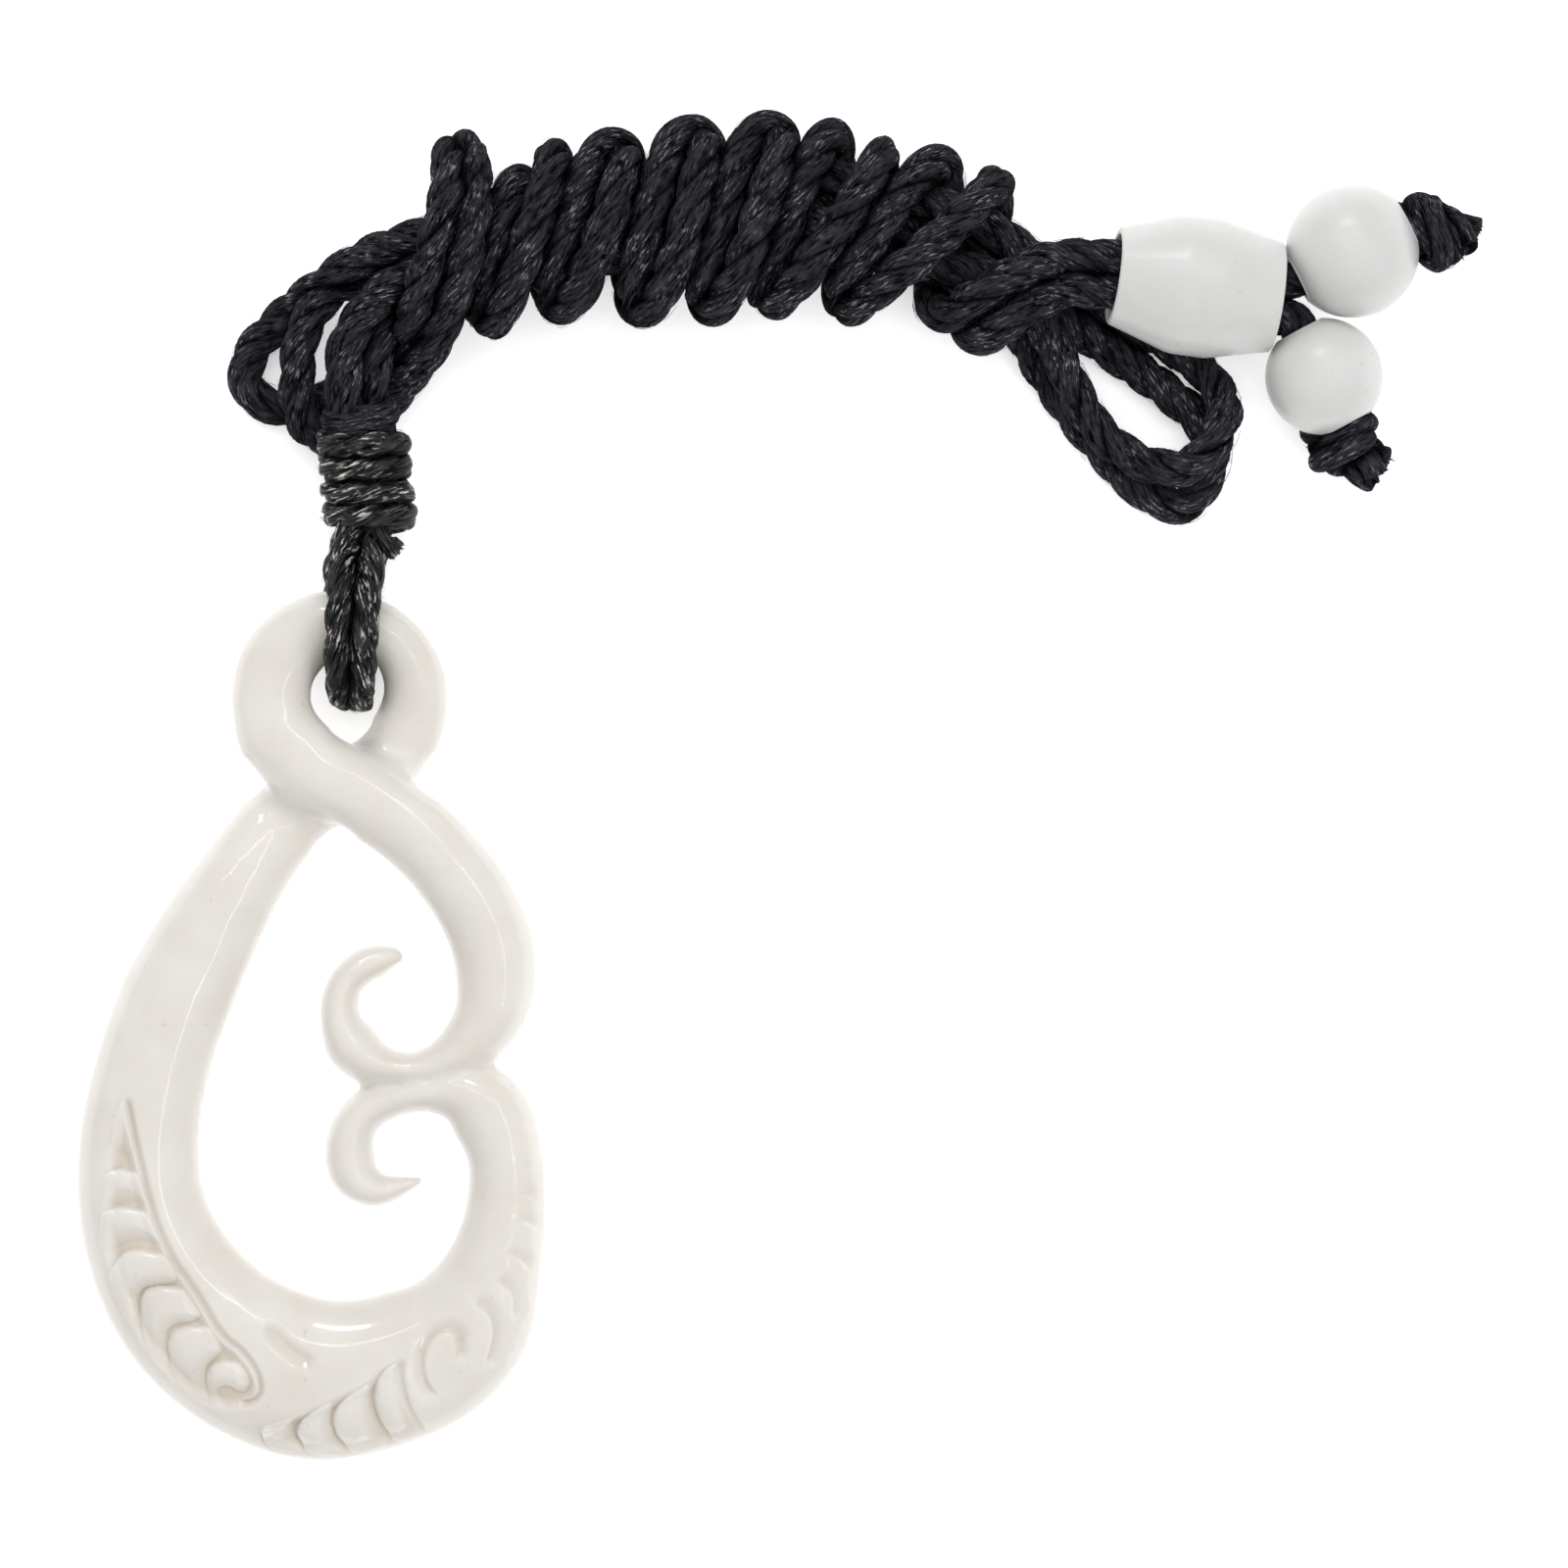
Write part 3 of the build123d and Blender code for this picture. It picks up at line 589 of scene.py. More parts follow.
def cord_fibres(name, line, diameter, per_mm, longest, seed, stray):
    """Fibres that lie along a cord's surface, a few of them standing out of it, as one mesh."""
    rng = np.random.default_rng(seed)
    points, places = resample(line, HAIR_STEP)
    tangents, normals, binormals = turning_frames(points)
    stages = np.arange(HAIR_PARTS + 1)
    parts = []
    for _ in range(int(places[-1] * per_mm)):
        k = int(rng.integers(2, len(points) - 12))
        angle = rng.uniform(0, 2 * math.pi)
        out = math.cos(angle) * normals[k] + math.sin(angle) * binormals[k]
        across = np.cross(tangents[k], out)
        length = longest * rng.uniform(0.3, 1.0)
        if rng.uniform() < stray:
            course = unit(tangents[k] * rng.choice([-1, 1]) + across * rng.uniform(-0.8, 0.8)
                          + out * rng.uniform(0.2, 0.7))
            curl = rng.normal(0, 0.35, 3) - out * 0.15
            spots = [points[k] + out * diameter * 0.45]
            for _ in range(HAIR_PARTS):
                spots.append(spots[-1] + course * length * 0.5 / HAIR_PARTS)
                course = unit(course + curl)
            spots = np.array(spots)
        else:
            run = np.round(stages * length / (HAIR_PARTS * HAIR_STEP)).astype(int)
            ahead = np.minimum(k + run, len(points) - 1)
            turned = angle + rng.uniform(0.2, 1.2) * length / diameter * stages / HAIR_PARTS
            spots = points[ahead] + (
                np.cos(turned)[:, None] * normals[ahead] + np.sin(turned)[:, None] * binormals[ahead]
            ) * diameter * rng.uniform(0.49, 0.52)
        radii = HAIR_RADII * rng.uniform(0.7, 1.3)
        if np.linalg.norm(spots[-1] - spots[0]) < 0.05:
            continue
        parts.append(tube_part(spots, np.tile(out + 0.01 * across, (5, 1)), radii, 3, 0.0, False))
    return build(name, parts, hair_material)


def build(name, parts, material, cleft_shade=None):
    """One mesh object from parts in mm, with how dark each point's painted shade between strands is."""
    verts, faces, uvs, base = [], [], [], 0
    for part_verts, part_faces, part_uvs in parts:
        verts.append(np.asarray(part_verts))
        faces += [tuple(index + base for index in face) for face in part_faces]
        uvs += part_uvs
        base += len(part_verts)
    verts = np.concatenate(verts) * MM
    verts[:, 2] = np.maximum(verts[:, 2], FLOOR_CLEARANCE * MM)
    mesh = bpy.data.meshes.new(name)
    mesh.from_pydata(verts.tolist(), [], faces)
    layer = mesh.uv_layers.new(name="UVMap")
    layer.data.foreach_set("uv", np.array(uvs, np.float32).ravel())
    mesh.shade_smooth()
    mesh.materials.append(material)
    mesh.update()
    if cleft_shade is not None:
        # painted shade: how deep between strands or against other cord each point lies, which darkens
        # the colour
        hidden = mesh.attributes.new("painted_cleft_shade", "FLOAT", "POINT")
        hidden.data.foreach_set("value", cleft_shade.astype(np.float32))
    piece = placed(name, mesh)
    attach(piece, "root")
    return piece


def laid_cord(name, line, diameter, step, material, slot_name, beside=(), tufts=(), **laid):
    """A laid cord as one mesh, with painted shade in its valleys, and the tufts of its cut end."""
    parts = rope_parts(line, diameter, step=step, **laid)
    cleft_shade = cleft_shade_depths(parts, line, diameter, step, beside)
    cleft_shade = np.append(cleft_shade, np.zeros(sum(len(tuft[0]) for tuft in tufts)))
    return build(name, parts + list(tufts), material, cleft_shade)


# Materials
class Surface:
    """A material's nodes, with the joins that the materials here have in common."""

    def __init__(self, name):
        self.material = bpy.data.materials.new(name)
        self.material.use_nodes = True
        self.tree = self.material.node_tree

    def fill(self, node, inputs):
        """Sets or links a node's inputs, by name or number."""
        for key, value in inputs.items():
            if isinstance(value, bpy.types.NodeSocket):
                self.tree.links.new(value, node.inputs[key])
            else:
                node.inputs[key].default_value = value

    def node(self, kind, inputs=None, **settings):
        node = self.tree.nodes.new(kind)
        for key, value in settings.items():
            setattr(node, key, value)
        self.fill(node, inputs or {})
        return node.outputs

    def noise(self, vector, scale, detail, roughness=0.5):
        inputs = {"Vector": vector, "Scale": scale, "Detail": detail, "Roughness": roughness}
        return self.node("ShaderNodeTexNoise", inputs)["Fac"]

    def tones(self, value, stops):
        """A colour for each value, from stops of a place and a colour or a grey."""
        color = self.node("ShaderNodeValToRGB", {"Fac": value})["Color"]
        elements = color.node.color_ramp.elements
        while len(elements) < len(stops):
            elements.new(0.5)
        for element, (place, tone) in zip(elements, stops):
            element.position = place
            element.color = (*np.broadcast_to(tone, 3), 1.0)
        return color

    def mix(self, share, first, second, blend_type="MIX"):
        inputs = {0: share, 6: first, 7: second}
        return self.node("ShaderNodeMix", inputs, data_type="RGBA", blend_type=blend_type)[2]

    def bump(self, height, strength, distance):
        inputs = {"Height": height, "Strength": strength, "Distance": distance}
        return self.node("ShaderNodeBump", inputs)["Normal"]

    def finished(self, inputs):
        """The material, with its shader's inputs set or linked."""
        self.fill(self.tree.nodes["Principled BSDF"], inputs)
        return self.material


def fibre_material(name, dark, mid, glint, sparse, roughness, wide, gloss, relief):
    """Twisted fibres: fine streaks along each strand, in tone and in relief, pale painted glints in
    small specks, and painted shade.
    """
    surface = Surface(name)
    coords = surface.node("ShaderNodeTexCoord")
    layers = []
    for across, along, detail in ((88.0, 18.0, 3.0), (27.0, 9.0, 3.0), (74.0, 20.0, 2.0)):
        stretched = surface.node("ShaderNodeMapping", {
            "Vector": coords["UV"],
            "Scale": (along / wide, across / wide, 1.0),
            "Location": (along, across, 0.0),
        })
        layers.append(surface.noise(stretched["Vector"], 1.0, detail, 0.6))
    fine, broad, spots = layers
    streaks = surface.node("ShaderNodeMix", {0: 0.45, 2: fine, 3: broad}, data_type="FLOAT")[0]
    # painted glints: sparse pale marks, in patches, stand in for light caught by the fibres
    painted_glints = surface.tones(spots, [(sparse, 0.0), (sparse + 0.12, 1.0)])
    glint_patches = surface.tones(surface.noise(coords["Object"], 520.0, 1.0), [(0.42, 0.05), (0.62, 1.0)])
    pale = surface.node("ShaderNodeMath", {0: painted_glints, 1: glint_patches}, operation="MULTIPLY")[0]
    color = surface.mix(pale, surface.tones(streaks, [(0.40, dark), (0.66, mid)]), (*glint, 1.0))
    # painted shade: the colour darkens where the cord lies deep between strands or against other cord
    painted_cleft_shade = surface.node("ShaderNodeAttribute", attribute_name="painted_cleft_shade")["Fac"]
    shade = surface.tones(painted_cleft_shade, [(0.0, 1.0), (0.5, 0.4), (1.0, 0.02)])
    return surface.finished({
        "Base Color": surface.mix(1.0, color, shade, "MULTIPLY"),
        "Normal": surface.bump(streaks, 1.0, relief),
        "Roughness": roughness,
        "Specular IOR Level": gloss,
    })


def loose_fibre_material():
    """Single fibres, most of them dark and some pale."""
    surface = Surface("loose_fibres")
    tint = surface.noise(surface.node("ShaderNodeTexCoord")["Object"], 900.0, 1.0)
    return surface.finished({
        "Base Color": surface.tones(tint, [(0.46, (0.004, 0.004, 0.006)), (0.72, (0.10, 0.105, 0.13))]),
        "Roughness": 0.6,
        "Specular IOR Level": 0.04,
    })


def bone_material(name, light, warm, roughness, scale, relief, coat, film, crease_shaded=False):
    """Polished bone: soft cloudy tones, faint specks and painted shade, dark and warm, in its creases.
    """
    surface = Surface(name)
    coords = surface.node("ShaderNodeTexCoord")
    clouds = surface.noise(coords["Object"], scale, 3.0)
    specks = surface.noise(coords["Object"], scale * 7, 1.0)
    spots = surface.tones(specks, [(0.21, (0.72, 0.66, 0.58)), (0.27, 1.0)])
    color = surface.mix(0.3, surface.tones(clouds, [(0.32, warm), (0.64, light)]), spots, "MULTIPLY")
    if crease_shaded:
        # painted shade: the carved creases are darker and warmer the deeper they are
        painted_crease_shade = surface.node("ShaderNodeAttribute", attribute_name="painted_crease_shade")["Fac"]
        depth = surface.tones(painted_crease_shade, [(0.20, 1.0), (1.0, (0.89, 0.83, 0.745))])
        color = surface.mix(1.0, color, depth, "MULTIPLY")
    shine = {"Value": clouds, "To Min": roughness - 0.05, "To Max": roughness + 0.07}
    return surface.finished({
        "Base Color": color,
        "Roughness": surface.node("ShaderNodeMapRange", shine)["Result"],
        "Normal": surface.bump(clouds, 0.5, relief),
        "Subsurface Weight": 0.30,
        "Subsurface Radius": (0.0010, 0.0007, 0.0004),
        "Subsurface Scale": 1.0,
        "Specular IOR Level": 0.35,
        "Coat Weight": film,
        "Coat Roughness": coat,
    })


# Each cord's glint colour is a painted glint: pale marks that stand in for light on its fibres
neck_material = fibre_material(
    "neck_cord_fibres", dark=(0.001, 0.001, 0.002), mid=(0.052, 0.053, 0.063),
    glint=(0.24, 0.25, 0.29), sparse=0.56, roughness=0.75, wide=1.0, gloss=0.02, relief=0.00026,
)
waxed_material = fibre_material(
    "waxed_cord_fibres", dark=0.0, mid=0.050, glint=(0.78, 0.78, 0.78),
    sparse=0.55, roughness=0.30, wide=1.3, gloss=0.06, relief=0.00030,
)
thread_material = fibre_material(
    "binding_thread_fibres", dark=0.0, mid=(0.070, 0.070, 0.067), glint=(0.78, 0.78, 0.75),
    sparse=0.53, roughness=0.30, wide=1.4, gloss=0.06, relief=0.00034,
)
hair_material = loose_fibre_material()
pendant_bone = bone_material(
    "pendant_bone", light=(0.735, 0.71, 0.675), warm=(0.695, 0.66, 0.612), roughness=0.32,
    scale=300.0, relief=0.00004, coat=0.08, film=0.7, crease_shaded=True,
)
bead_bone = bone_material(
    "bead_bone", light=(0.63, 0.635, 0.625), warm=(0.60, 0.60, 0.585), roughness=0.48,
    scale=340.0, relief=0.00003, coat=0.26, film=0.55,
)

# The two arms of the neck cord
cord_pieces = {}
full = NECK_D * NECK_FULLNESS
arm_lines = {"a": smooth_line(ARM_A), "b": smooth_line(ARM_B)}
for arm, other, seed in (("a", "b", 21), ("b", "a", 57)):
    line = arm_lines[arm]
    cord = laid_cord(
        "neck_cord_" + arm, line, full, NECK_STEP, neck_material, "neck_cord",
        beside=[arm_lines[other]], lay=NECK_LAY, seed=seed,
    )
    fibres = cord_fibres(
        "neck_cord_%s_fibres" % arm, line, full, 6.0, 1.1, seed, 0.02)
    even, places = resample(line, 0.8)
    cord_pieces[arm] = (cord, fibres, even, places[-1])


# Beads
def lathe(profile, segments, centre, turn, seed, tilt=0.0):
    """A turned body from a closed profile of (radius, place along the bore)."""
    rng = np.random.default_rng(seed)
    phases = rng.uniform(0, 2 * math.pi, 2)
    radii, along = np.array(profile).T[:, :, None]
    angles = np.linspace(0, 2 * math.pi, segments, endpoint=False)
    uneven = np.sin(2 * angles + phases[0]) + 0.5 * np.sin(3 * angles + phases[1])
    r = radii * (1 + BEAD_WOBBLE * uneven)
    spots = np.stack([along + 0 * r, r * np.cos(angles), r * np.sin(angles)], axis=-1)
    lie = Matrix.Rotation(math.radians(turn), 3, "Z") @ Matrix.Rotation(math.radians(-tilt), 3, "Y")
    rows = len(profile)
    faces, uvs = [], []
    for i in range(rows):
        for j in range(segments):
            corners = [(i, j), (i + 1, j), (i + 1, j + 1), (i, j + 1)]
            faces.append([row % rows * segments + col % segments for row, col in corners])
            uvs += [(col / segments, row / rows) for row, col in corners]
    return spots.reshape(-1, 3) @ np.array(lie).T + centre, faces, uvs


def rounded(corners, steps=6):
    """The closed outline with each of its corners rounded."""
    points = [np.array(corner[:2]) for corner in corners]
    outline = []
    for k, corner in enumerate(points):
        before, after = points[k - 1], points[(k + 1) % len(points)]
        entry = corner + unit(before - corner) * corners[k][2]
        leave = corner + unit(after - corner) * corners[k][2]
        for step in range(steps + 1):
            t = step / steps
            outline.append((1 - t) ** 2 * entry + 2 * t * (1 - t) * corner + t**2 * leave)
    return outline


def ball_profile(diameter, length, steps=40):
    """A ball's outline with flattened ends and softened rims of the bore."""
    half = length / 2
    ball = diameter / 2
    ends = math.acos(half / ball)
    outline = []
    for k in range(steps + 1):
        angle = math.pi - ends - (math.pi - 2 * ends) * k / steps
        outline.append((ball * math.sin(angle), ball * math.cos(angle)))
    outline += [(BEAD_BORE + wider, half - deep) for wider, deep in BEAD_RIM]
    outline += [(BEAD_BORE + wider, deep - half) for wider, deep in reversed(BEAD_RIM)]
    return outline


def bead(name, body):
    piece = build("bone_" + name, [body], bead_bone)
    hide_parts(name)
    return piece


barrel = bead("barrel_bead", lathe(
    rounded(BARREL_OUTLINE), 128, BARREL_CENTRE, BARREL_TURN, 4, BARREL_TILT))
for arm, diameter, length, centre, turn, seed in ROUND_BEADS:
    body = lathe(ball_profile(diameter, length), 96, centre, turn, seed)
    bead("round_bead_" + arm, body)

# The bail: two waxed cords side by side, from the binding through the eye and back
bail_pieces = []
bail_lines = {
    side: smooth_line([(x + side * half, y + side * BAIL_STAGGER, z) for x, y, z, half in BAIL])
    for side in (-1, 1)
}
for arm, side in (("a", -1), ("b", 1)):
    line = bail_lines[side]
    bail = laid_cord(
        "bail_cord_" + arm, line, LOOP_D * LOOP_FULLNESS, FINE_STEP, waxed_material, "waxed_cord",
        beside=[bail_lines[-side]], lay=LOOP_LAY, hand=-side, seed=71 + side, rough=0.06,
    )
    fibres = cord_fibres(
        "bail_cord_%s_fibres" % arm, line, LOOP_D * 1.1, 11.0, 1.1, 81 + side, 0.12)
    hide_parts("hanging_loop_" + arm)
    bail_pieces += [bail, fibres]

# Binding
binding_along = unit(BINDING_TOP - BINDING_BOTTOM)
binding_side = unit(np.cross(binding_along, [0.0, 0.0, 1.0]))
binding_up = np.cross(binding_side, binding_along)


def axis_place(share):
    return BINDING_BOTTOM + (BINDING_TOP - BINDING_BOTTOM) * share


def wound_thread(start, end, turns, half_width, half_depth, phase, per_turn, seed):
    """Control points of a thread wound round the binding's axis."""
    rng = np.random.default_rng(seed)
    count = int(turns * per_turn)
    phases = rng.uniform(0, 2 * math.pi, len(WINDING_WAVES))
    points = []
    for k in range(count + 1):
        t = k / count
        angle = 2 * math.pi * turns * t + phase
        waves = [
            wave * math.sin(pace * angle + shift) for (wave, pace), shift in zip(WINDING_WAVES, phases)]
        swell = WINDING_SWELL + waves[0]
        drift = waves[1] + waves[2]
        c, s = math.cos(angle), math.sin(angle)
        square = WINDING_SQUARENESS
        reach = swell / (abs(c) ** square + abs(s) ** square) ** (1 / square)
        offset = binding_side * half_width * reach * c + binding_up * half_depth * reach * s
        points.append(tuple(axis_place(start + (end - start) * t) + binding_along * drift + offset))
    return points


line = smooth_line(wound_thread(*THREAD_WINDING))
binding = laid_cord(
    "binding_thread", line, THREAD_D, FINE_STEP, thread_material, "binding_thread",
    lay=THREAD_LAY, hand=-1, seed=93, rough=0.07,
)
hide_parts("binding")
binding_fibres = cord_fibres(
    "binding_fibres", line, THREAD_D, 8.0, 0.9, 95, 0.10)
points, places = resample(smooth_line(wound_thread(*COLLAR_WINDING)), 0.12)
thick = 1 + wander(places, COLLAR_SWELL, 41)
collar_parts = [tube_part(
    points, points - axis_place(COLLAR_MIDDLE), COLLAR_HALF_THICKNESS * thick, 20, 0.12,
    widths=COLLAR_HALF_WIDTH * thick, girth=1.0,
)]
collar = build("binding_collar", collar_parts, neck_material)

# The cords' bulk inside the binding
centres = np.array([axis_place(share) for share in np.linspace(*CORE_ENDS, 10)])
rows = np.ones(len(centres))
core_parts = [tube_part(
    centres, np.outer(rows, binding_side), CORE_HALF_WIDTH * rows, 32, 0.0,
    widths=CORE_HALF_DEPTH * rows, girth=1.0,
)]
core = build("binding_core", core_parts, neck_material)


# Stopper knots
def knot_points(start, turn, tail_turn, size, tail, phase, hand, lean):
    """A knot: out along the axis, back round it one and a half times, and through."""
    spots = list(KNOT_ENTRY)
    count, degrees, first, back = KNOT_TURNS
    for k in range(count):
        angle = math.radians(phase + degrees * k) * hand
        place = first - back * k - lean * math.cos(angle)
        spots.append((place, size * math.cos(angle), size * math.sin(angle)))
    lie = np.array(Matrix.Rotation(math.radians(turn), 3, "Z"))
    points = list(np.array(spots + KNOT_EXIT) @ lie.T + start)
    c, s = math.cos(math.radians(tail_turn)), math.sin(math.radians(tail_turn))
    for reach in (TAIL_START, tail):
        points.append(points[-1] + reach * np.array([c, s, -TAIL_DROP]))
    return points


def frayed_end(route, count, length, spread, seed):
    """The tufts and loose fibres of the cut end of a route."""
    rng = np.random.default_rng(seed)
    tip = np.array(route[-1])
    forward = unit(tip - np.array(route[-2]))
    across = unit(np.cross(forward, [0.0, 0.0, 1.0]))
    up = np.cross(across, forward)
    shares = np.array([0, 0.3, 0.55, 0.8, 1.0])[:, None]
    parts = []
    for index in range(count):
        angle = rng.uniform(0, 2 * math.pi)
        out = math.cos(angle) * across + math.sin(angle) * up
        off = spread * math.sqrt(rng.uniform(0, 1))
        root = tip - forward * TUFT_ROOT + out * off
        lean = out * off * rng.uniform(0.1, 0.7) / spread
        reach = length * rng.uniform(0.5, 1.0) + 0.3
        bend = rng.normal(0, 0.15, 3)
        spots = root + (forward + lean) * reach * shares + bend * reach * shares**2
        radii = (FIBRE_RADII if index % TUFTS_EVERY else TUFT_RADII) * rng.uniform(0.7, 1.2)
        parts.append(tube_part(spots, np.tile(out, (5, 1)), radii, 6, 0.2))
    return parts


for arm, *shape, seed in KNOTS:
    route = knot_points(*shape)
    line = smooth_line(route)
    knot = laid_cord(
        "stopper_knot_" + arm, line, NECK_D * KNOT_FULLNESS, KNOT_STEP, neck_material, "neck_cord",
        tufts=frayed_end(route, 40, 0.42, 0.85, seed), lay=KNOT_LAY, seed=seed + 40,
        rough=0.05, splay=0.6,
    )
    fibres = cord_fibres(
        "stopper_knot_%s_fibres" % arm, line, NECK_D, 16.0, 1.0, seed + 3, 0.1)
    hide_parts("end_knot_" + arm)

# The cut end of the binding's thread
line = smooth_line(CUT_THREAD)
parts = rope_parts(line, CUT_THREAD_D, CUT_THREAD_LAY, 0.1, 61, plies=2, sides=10)
cut_thread = build(
    "binding_cut_end", parts + frayed_end(CUT_THREAD, 30, 0.25, 0.30, 63),
    waxed_material,
)


# Pendant
def on_pendant(points):
    grid = np.array(points, float)
    x = CARVING_LEFT + grid[:, 0] * CARVING_STEP
    y = CARVING_TOP - grid[:, 1] * CARVING_STEP
    return np.stack([x, y], axis=1)


def line_distance(places, line, closed=False):
    """Each place's distance to a broken line, its side, and how far it is from the line's ends."""
    best = np.full(len(places), 1e9)
    side = np.zeros(len(places))
    along = np.zeros(len(places))
    travelled = 0.0
    if closed:
        line = np.append(line, line[:1], axis=0)
    for start, end in zip(line[:-1], line[1:]):
        run = end - start
        length = np.linalg.norm(run)
        away = places - start
        share = np.clip(away @ run / length**2, 0, 1)
        gap = np.linalg.norm(away - share[:, None] * run, axis=1)
        nearer = gap < best
        best = np.where(nearer, gap, best)
        turn = np.sign(run[0] * away[:, 1] - run[1] * away[:, 0])
        side = np.where(nearer, turn, side)
        along = np.where(nearer, travelled + share * length, along)
        travelled += length
    return best, side, np.minimum(along, travelled - along)


def inside(places, outline):
    result = np.zeros(len(places), bool)
    for start, end in zip(outline, np.roll(outline, -1, axis=0)):
        crosses = (start[1] > places[:, 1]) != (end[1] > places[:, 1])
        height = end[1] - start[1]
        if abs(height) < 1e-9:
            continue
        x = start[0] + (places[:, 1] - start[1]) * (end[0] - start[0]) / height
        result ^= crosses & (places[:, 0] < x)
    return result


def ease(value):
    value = np.clip(value, 0, 1)
    return value * value * (3 - 2 * value)


def curved(line):
    """The broken line with its corners cut twice, which makes it smooth."""
    for _ in range(2):
        first = line[:-1] * 0.75 + line[1:] * 0.25
        second = line[:-1] * 0.25 + line[1:] * 0.75
        middle = np.stack([first, second], axis=1).reshape(-1, 2)
        line = np.concatenate([line[:1], middle, line[-1:]])
    return line


def curved_ring(line, rounds):
    """The closed broken line with its corners cut."""
    for _ in range(rounds):
        following = np.roll(line, -1, axis=0)
        pair = np.stack([line * 0.8 + following * 0.2, line * 0.2 + following * 0.8], axis=1)
        line = pair.reshape(-1, 2)
    return line


def close_to(places, outline, margin):
    low = outline.min(axis=0) - margin
    high = outline.max(axis=0) + margin
    return np.all((places > low) & (places < high), axis=1)


def within(places, outline):
    """Which places the outline holds, and how far each is from it."""
    held = np.flatnonzero(close_to(places, outline, 0.0))
    held = held[inside(places[held], outline)]
    return held, line_distance(places[held], outline, True)[0]


def carving(places):
    """How deep the carving is at each place, in mm."""
    depth = np.zeros(len(places))
    for outline in PANELS:
        held, gap = within(places, curved_ring(on_pendant(outline), 2))
        depth[held] = np.maximum(depth[held], PANEL_DEPTH * ease(gap / PANEL_RAMP))
    raised = np.zeros(len(places))
    for outline, slope in PADS:
        outline = curved_ring(on_pendant(outline), 1)
        held, gap = within(places, outline)
        way = np.array([slope[0], -slope[1]])
        along = places[held] @ way
        corners = outline @ way
        fall = np.clip((along - corners.min()) / (corners.max() - corners.min()), 0, 1)
        inward = np.clip(gap / (PAD_ROUNDING * (0.75 + 1.1 * fall)), 0, 1)
        pillow = np.sqrt(1 - (1 - inward) ** 2) * (1 - 0.4 * fall) + ease(inward) * 0.4 * fall
        height = PANEL_DEPTH * pillow * (1.25 - 0.85 * fall**1.5)
        raised[held] = np.maximum(raised[held], height)
    depth = depth - raised * (depth > 0)
    for deep, half, left, right, line in GROOVES:
        line = curved(on_pendant(line))
        near = np.flatnonzero(close_to(places, line, GROOVE_REACH))
        spots = places[near]
        gap, side, from_end = line_distance(spots, line)
        bank = np.where(side > 0, left, right) * half * GROOVE_BANK
        cut = deep * ease(from_end / GROOVE_RUNOUT + 0.15) * ease(1 - gap / bank) ** 1.3
        depth[near] = np.maximum(depth[near], depth[near] * 0.5 + cut)
    return depth


def voxel_copy(source):
    """A copy of a solid's mesh in even cells, softened."""
    copy = placed("pendant_copy", source.data.copy())
    remesh = copy.modifiers.new("remesh", "REMESH")
    remesh.mode = "VOXEL"
    remesh.voxel_size = CELL * MM
    soften = copy.modifiers.new("soften", "SMOOTH")
    soften.factor = 0.5
    soften.iterations = CELL_SMOOTHING
    view = bpy.context.evaluated_depsgraph_get()
    mesh = bpy.data.meshes.new_from_object(copy.evaluated_get(view))
    bpy.data.objects.remove(copy)
    return mesh


def work_spots(work):
    work.verts.ensure_lookup_table()
    work.verts.index_update()
    return np.array([vert.co for vert in work.verts]) / MM


def soften_crossing(work):
    """Rounds the valleys beside the upper strand where the strands cross."""
    spots = work_spots(work)
    near = np.zeros(len(spots), bool)
    for line, reach in CROSSING_FILLETS:
        gap = line_distance(spots[:, :2], np.array(line))[0]
        near |= (gap < reach) & (spots[:, 2] > CROSSING_FLOOR)
    verts = [vert for vert in work.verts if near[vert.index]]
    axes = {"use_axis_x": True, "use_axis_y": True, "use_axis_z": True}
    for _ in range(CROSSING_ROUNDS):
        bmesh.ops.smooth_vert(work, verts=verts, factor=0.5, **axes)
    work.normal_update()


def refine_carving(work):
    """Splits the edges of the front in and beside the carving."""
    spots = work_spots(work)
    near = carving(spots[:, :2]) > 0
    for outline in PANELS:
        near |= line_distance(spots[:, :2], on_pendant(outline), True)[0] < PANEL_MARGIN
    for *_, line in GROOVES:
        near |= line_distance(spots[:, :2], on_pendant(line))[0] < GROOVE_MARGIN
    near &= np.array([vert.normal.z for vert in work.verts]) > 0.0
    edges = [edge for edge in work.edges if near[edge.verts[0].index] or near[edge.verts[1].index]]
    bmesh.ops.subdivide_edges(work, edges=edges, cuts=1, use_grid_fill=True, smooth=0.0)


def vectors_of(mesh, name):
    values = np.zeros(len(mesh.vertices) * 3)
    mesh.vertices.foreach_get(name, values)
    return values.reshape(-1, 3)


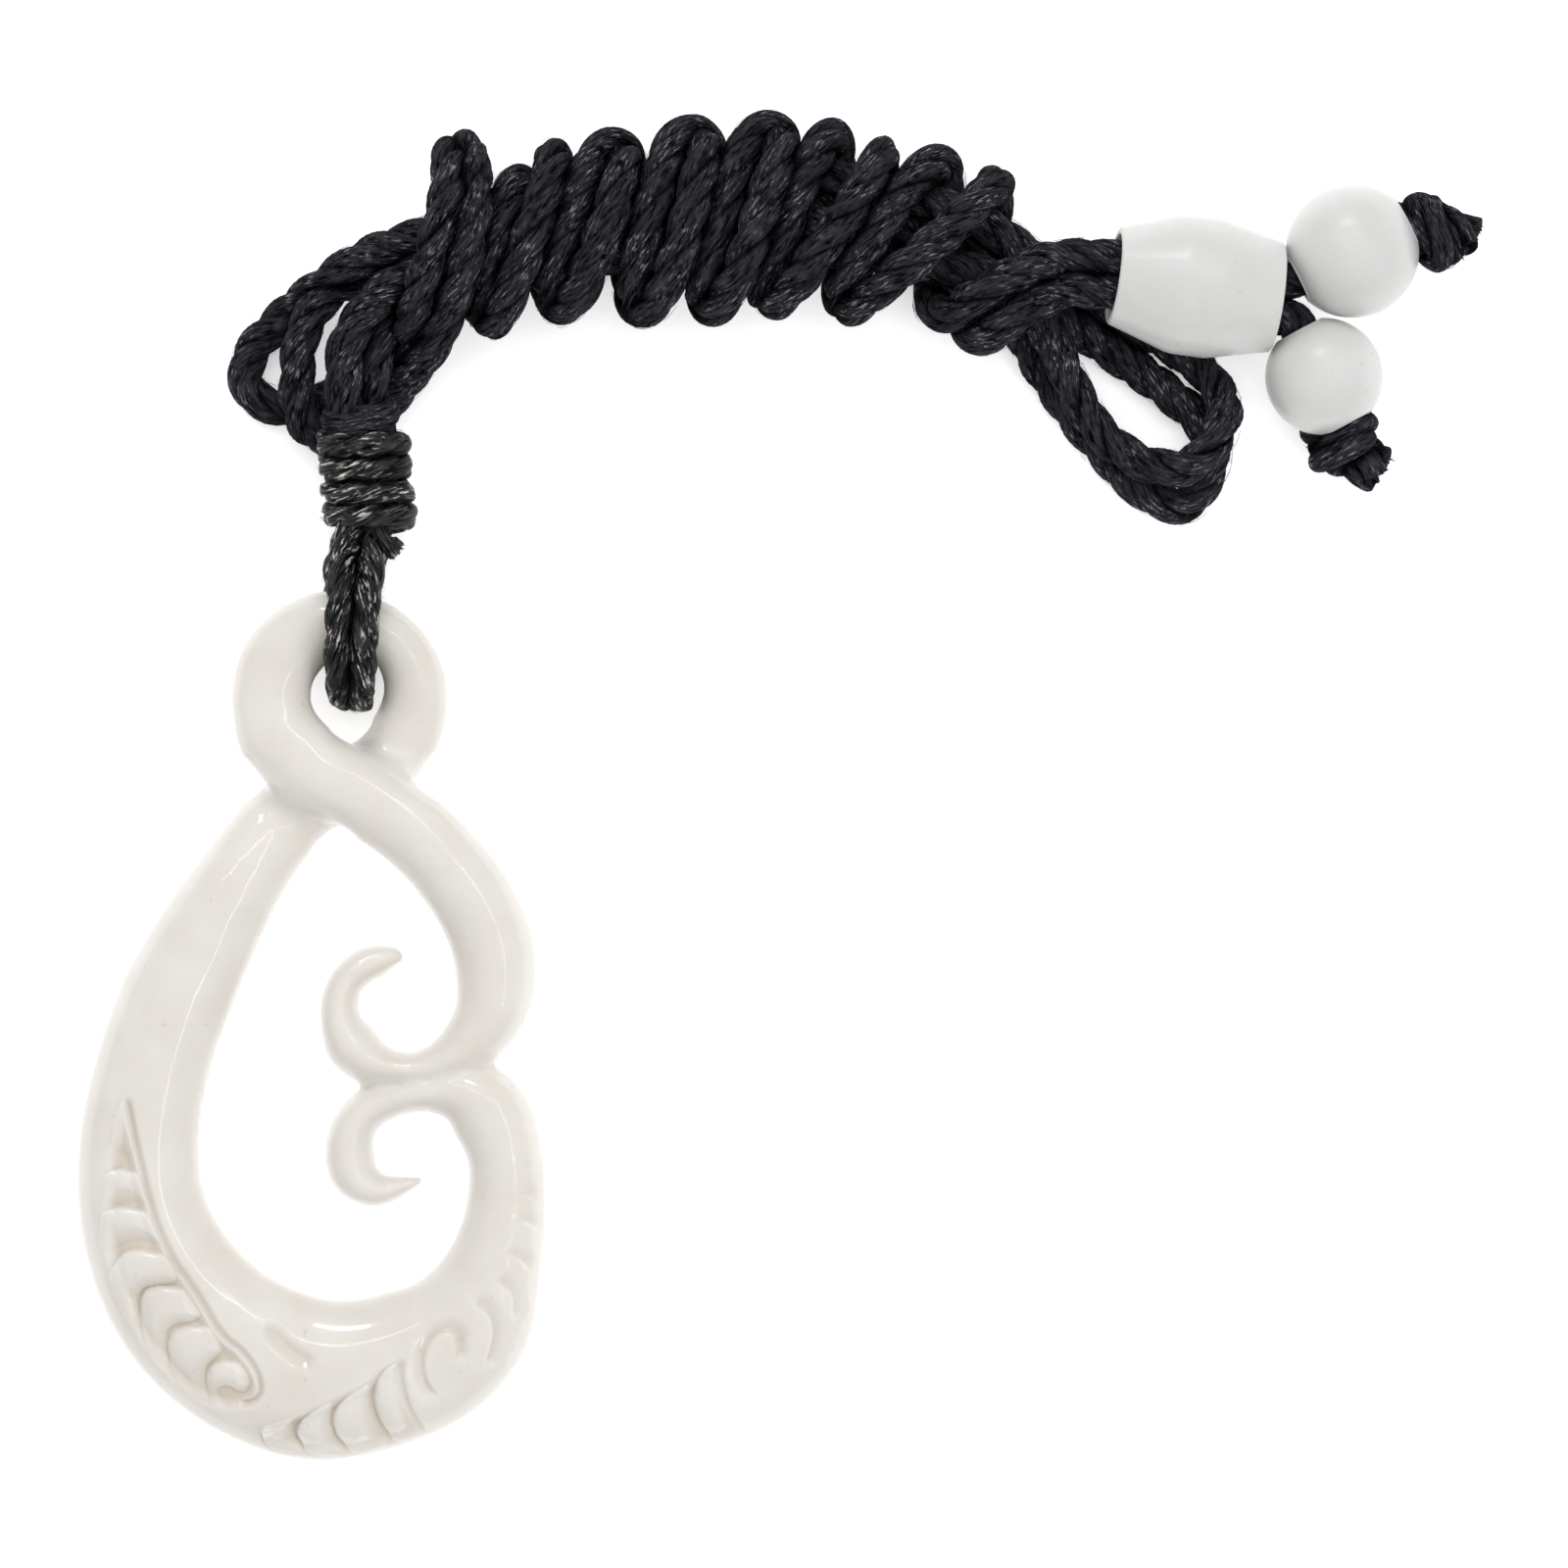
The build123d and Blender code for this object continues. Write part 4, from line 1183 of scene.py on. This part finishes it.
def carved_pendant():
    """The carved bone: the solid's mesh in even cells, with its carving cut into the front."""
    mesh = voxel_copy(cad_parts["pendant"])
    work = bmesh.new()
    work.from_mesh(mesh)
    soften_crossing(work)
    for _ in range(CARVING_REFINES):
        refine_carving(work)
    bmesh.ops.triangulate(work, faces=[face for face in work.faces if len(face.verts) > 4])
    work.normal_update()
    work.to_mesh(mesh)
    work.free()
    spots = vectors_of(mesh, "co") / MM
    ups = vectors_of(mesh, "normal")
    depth = carving(spots[:, :2]) * ease(ups[:, 2] / UPRIGHT)
    mesh.vertices.foreach_set("co", ((spots - ups * depth[:, None]) * MM).ravel())
    mesh.shade_smooth()
    mesh.materials.clear()
    mesh.materials.append(pendant_bone)
    mesh.update()
    # painted shade: the carving's depth at each point, by which the bone's colour darkens
    painted_crease_shade = mesh.attributes.new("painted_crease_shade", "FLOAT", "POINT")
    painted_crease_shade.data.foreach_set("value", np.clip(depth / PANEL_DEPTH, 0, 1).astype(np.float32))
    return placed("carved_pendant", mesh)


pendant = carved_pendant()
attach(pendant, "root")
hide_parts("pendant")

# Lights and floor
for name, place, length, width, power, gloss in LIGHTS:
    data = bpy.data.lights.new(name, "AREA")
    data.shape = "RECTANGLE"
    data.size = length
    data.size_y = width
    data.energy = power
    lamp = placed(name, data)
    lamp.location = place
    aim = Vector(LIT_PLACE) - Vector(place)
    lamp.rotation_euler = aim.to_track_quat("-Z", "Y").to_euler()
    lamp.visible_glossy = gloss

world = bpy.data.worlds.new("studio")
world.use_nodes = True
daylight = world.node_tree.nodes["Background"].inputs
daylight["Color"].default_value = (1.0, 1.0, 1.0, 1.0)
daylight["Strength"].default_value = DAYLIGHT
scene.world = world
scene.view_settings.view_transform = "Standard"

floor_mesh = bpy.data.meshes.new("floor")
reach = FLOOR_REACH
corners = [(-reach, -reach, 0), (reach, -reach, 0), (reach, reach, 0), (-reach, reach, 0)]
floor_mesh.from_pydata(corners, [], [(0, 1, 2, 3)])
floor_mesh.materials.append(Surface("pale_floor").finished({
    "Base Color": (0.93, 0.93, 0.93, 1.0),
    "Roughness": 0.9,
    "Emission Color": (1.0, 1.0, 1.0, 1.0),
    "Emission Strength": 0.48,
    "Specular IOR Level": 0.1,
}))
placed("floor", floor_mesh)

# Plain parts of the model that the laid cords replace, for each arm and the hank, left out of view and
# render
for arm, (cord, fibres, even, length) in cord_pieces.items():
    nodes_of_arm = ["neck_cord_start_", "left_loop_", "right_loop_", "cord_tail_"]
    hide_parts(*[name + arm for name in nodes_of_arm])
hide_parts("hank_body")
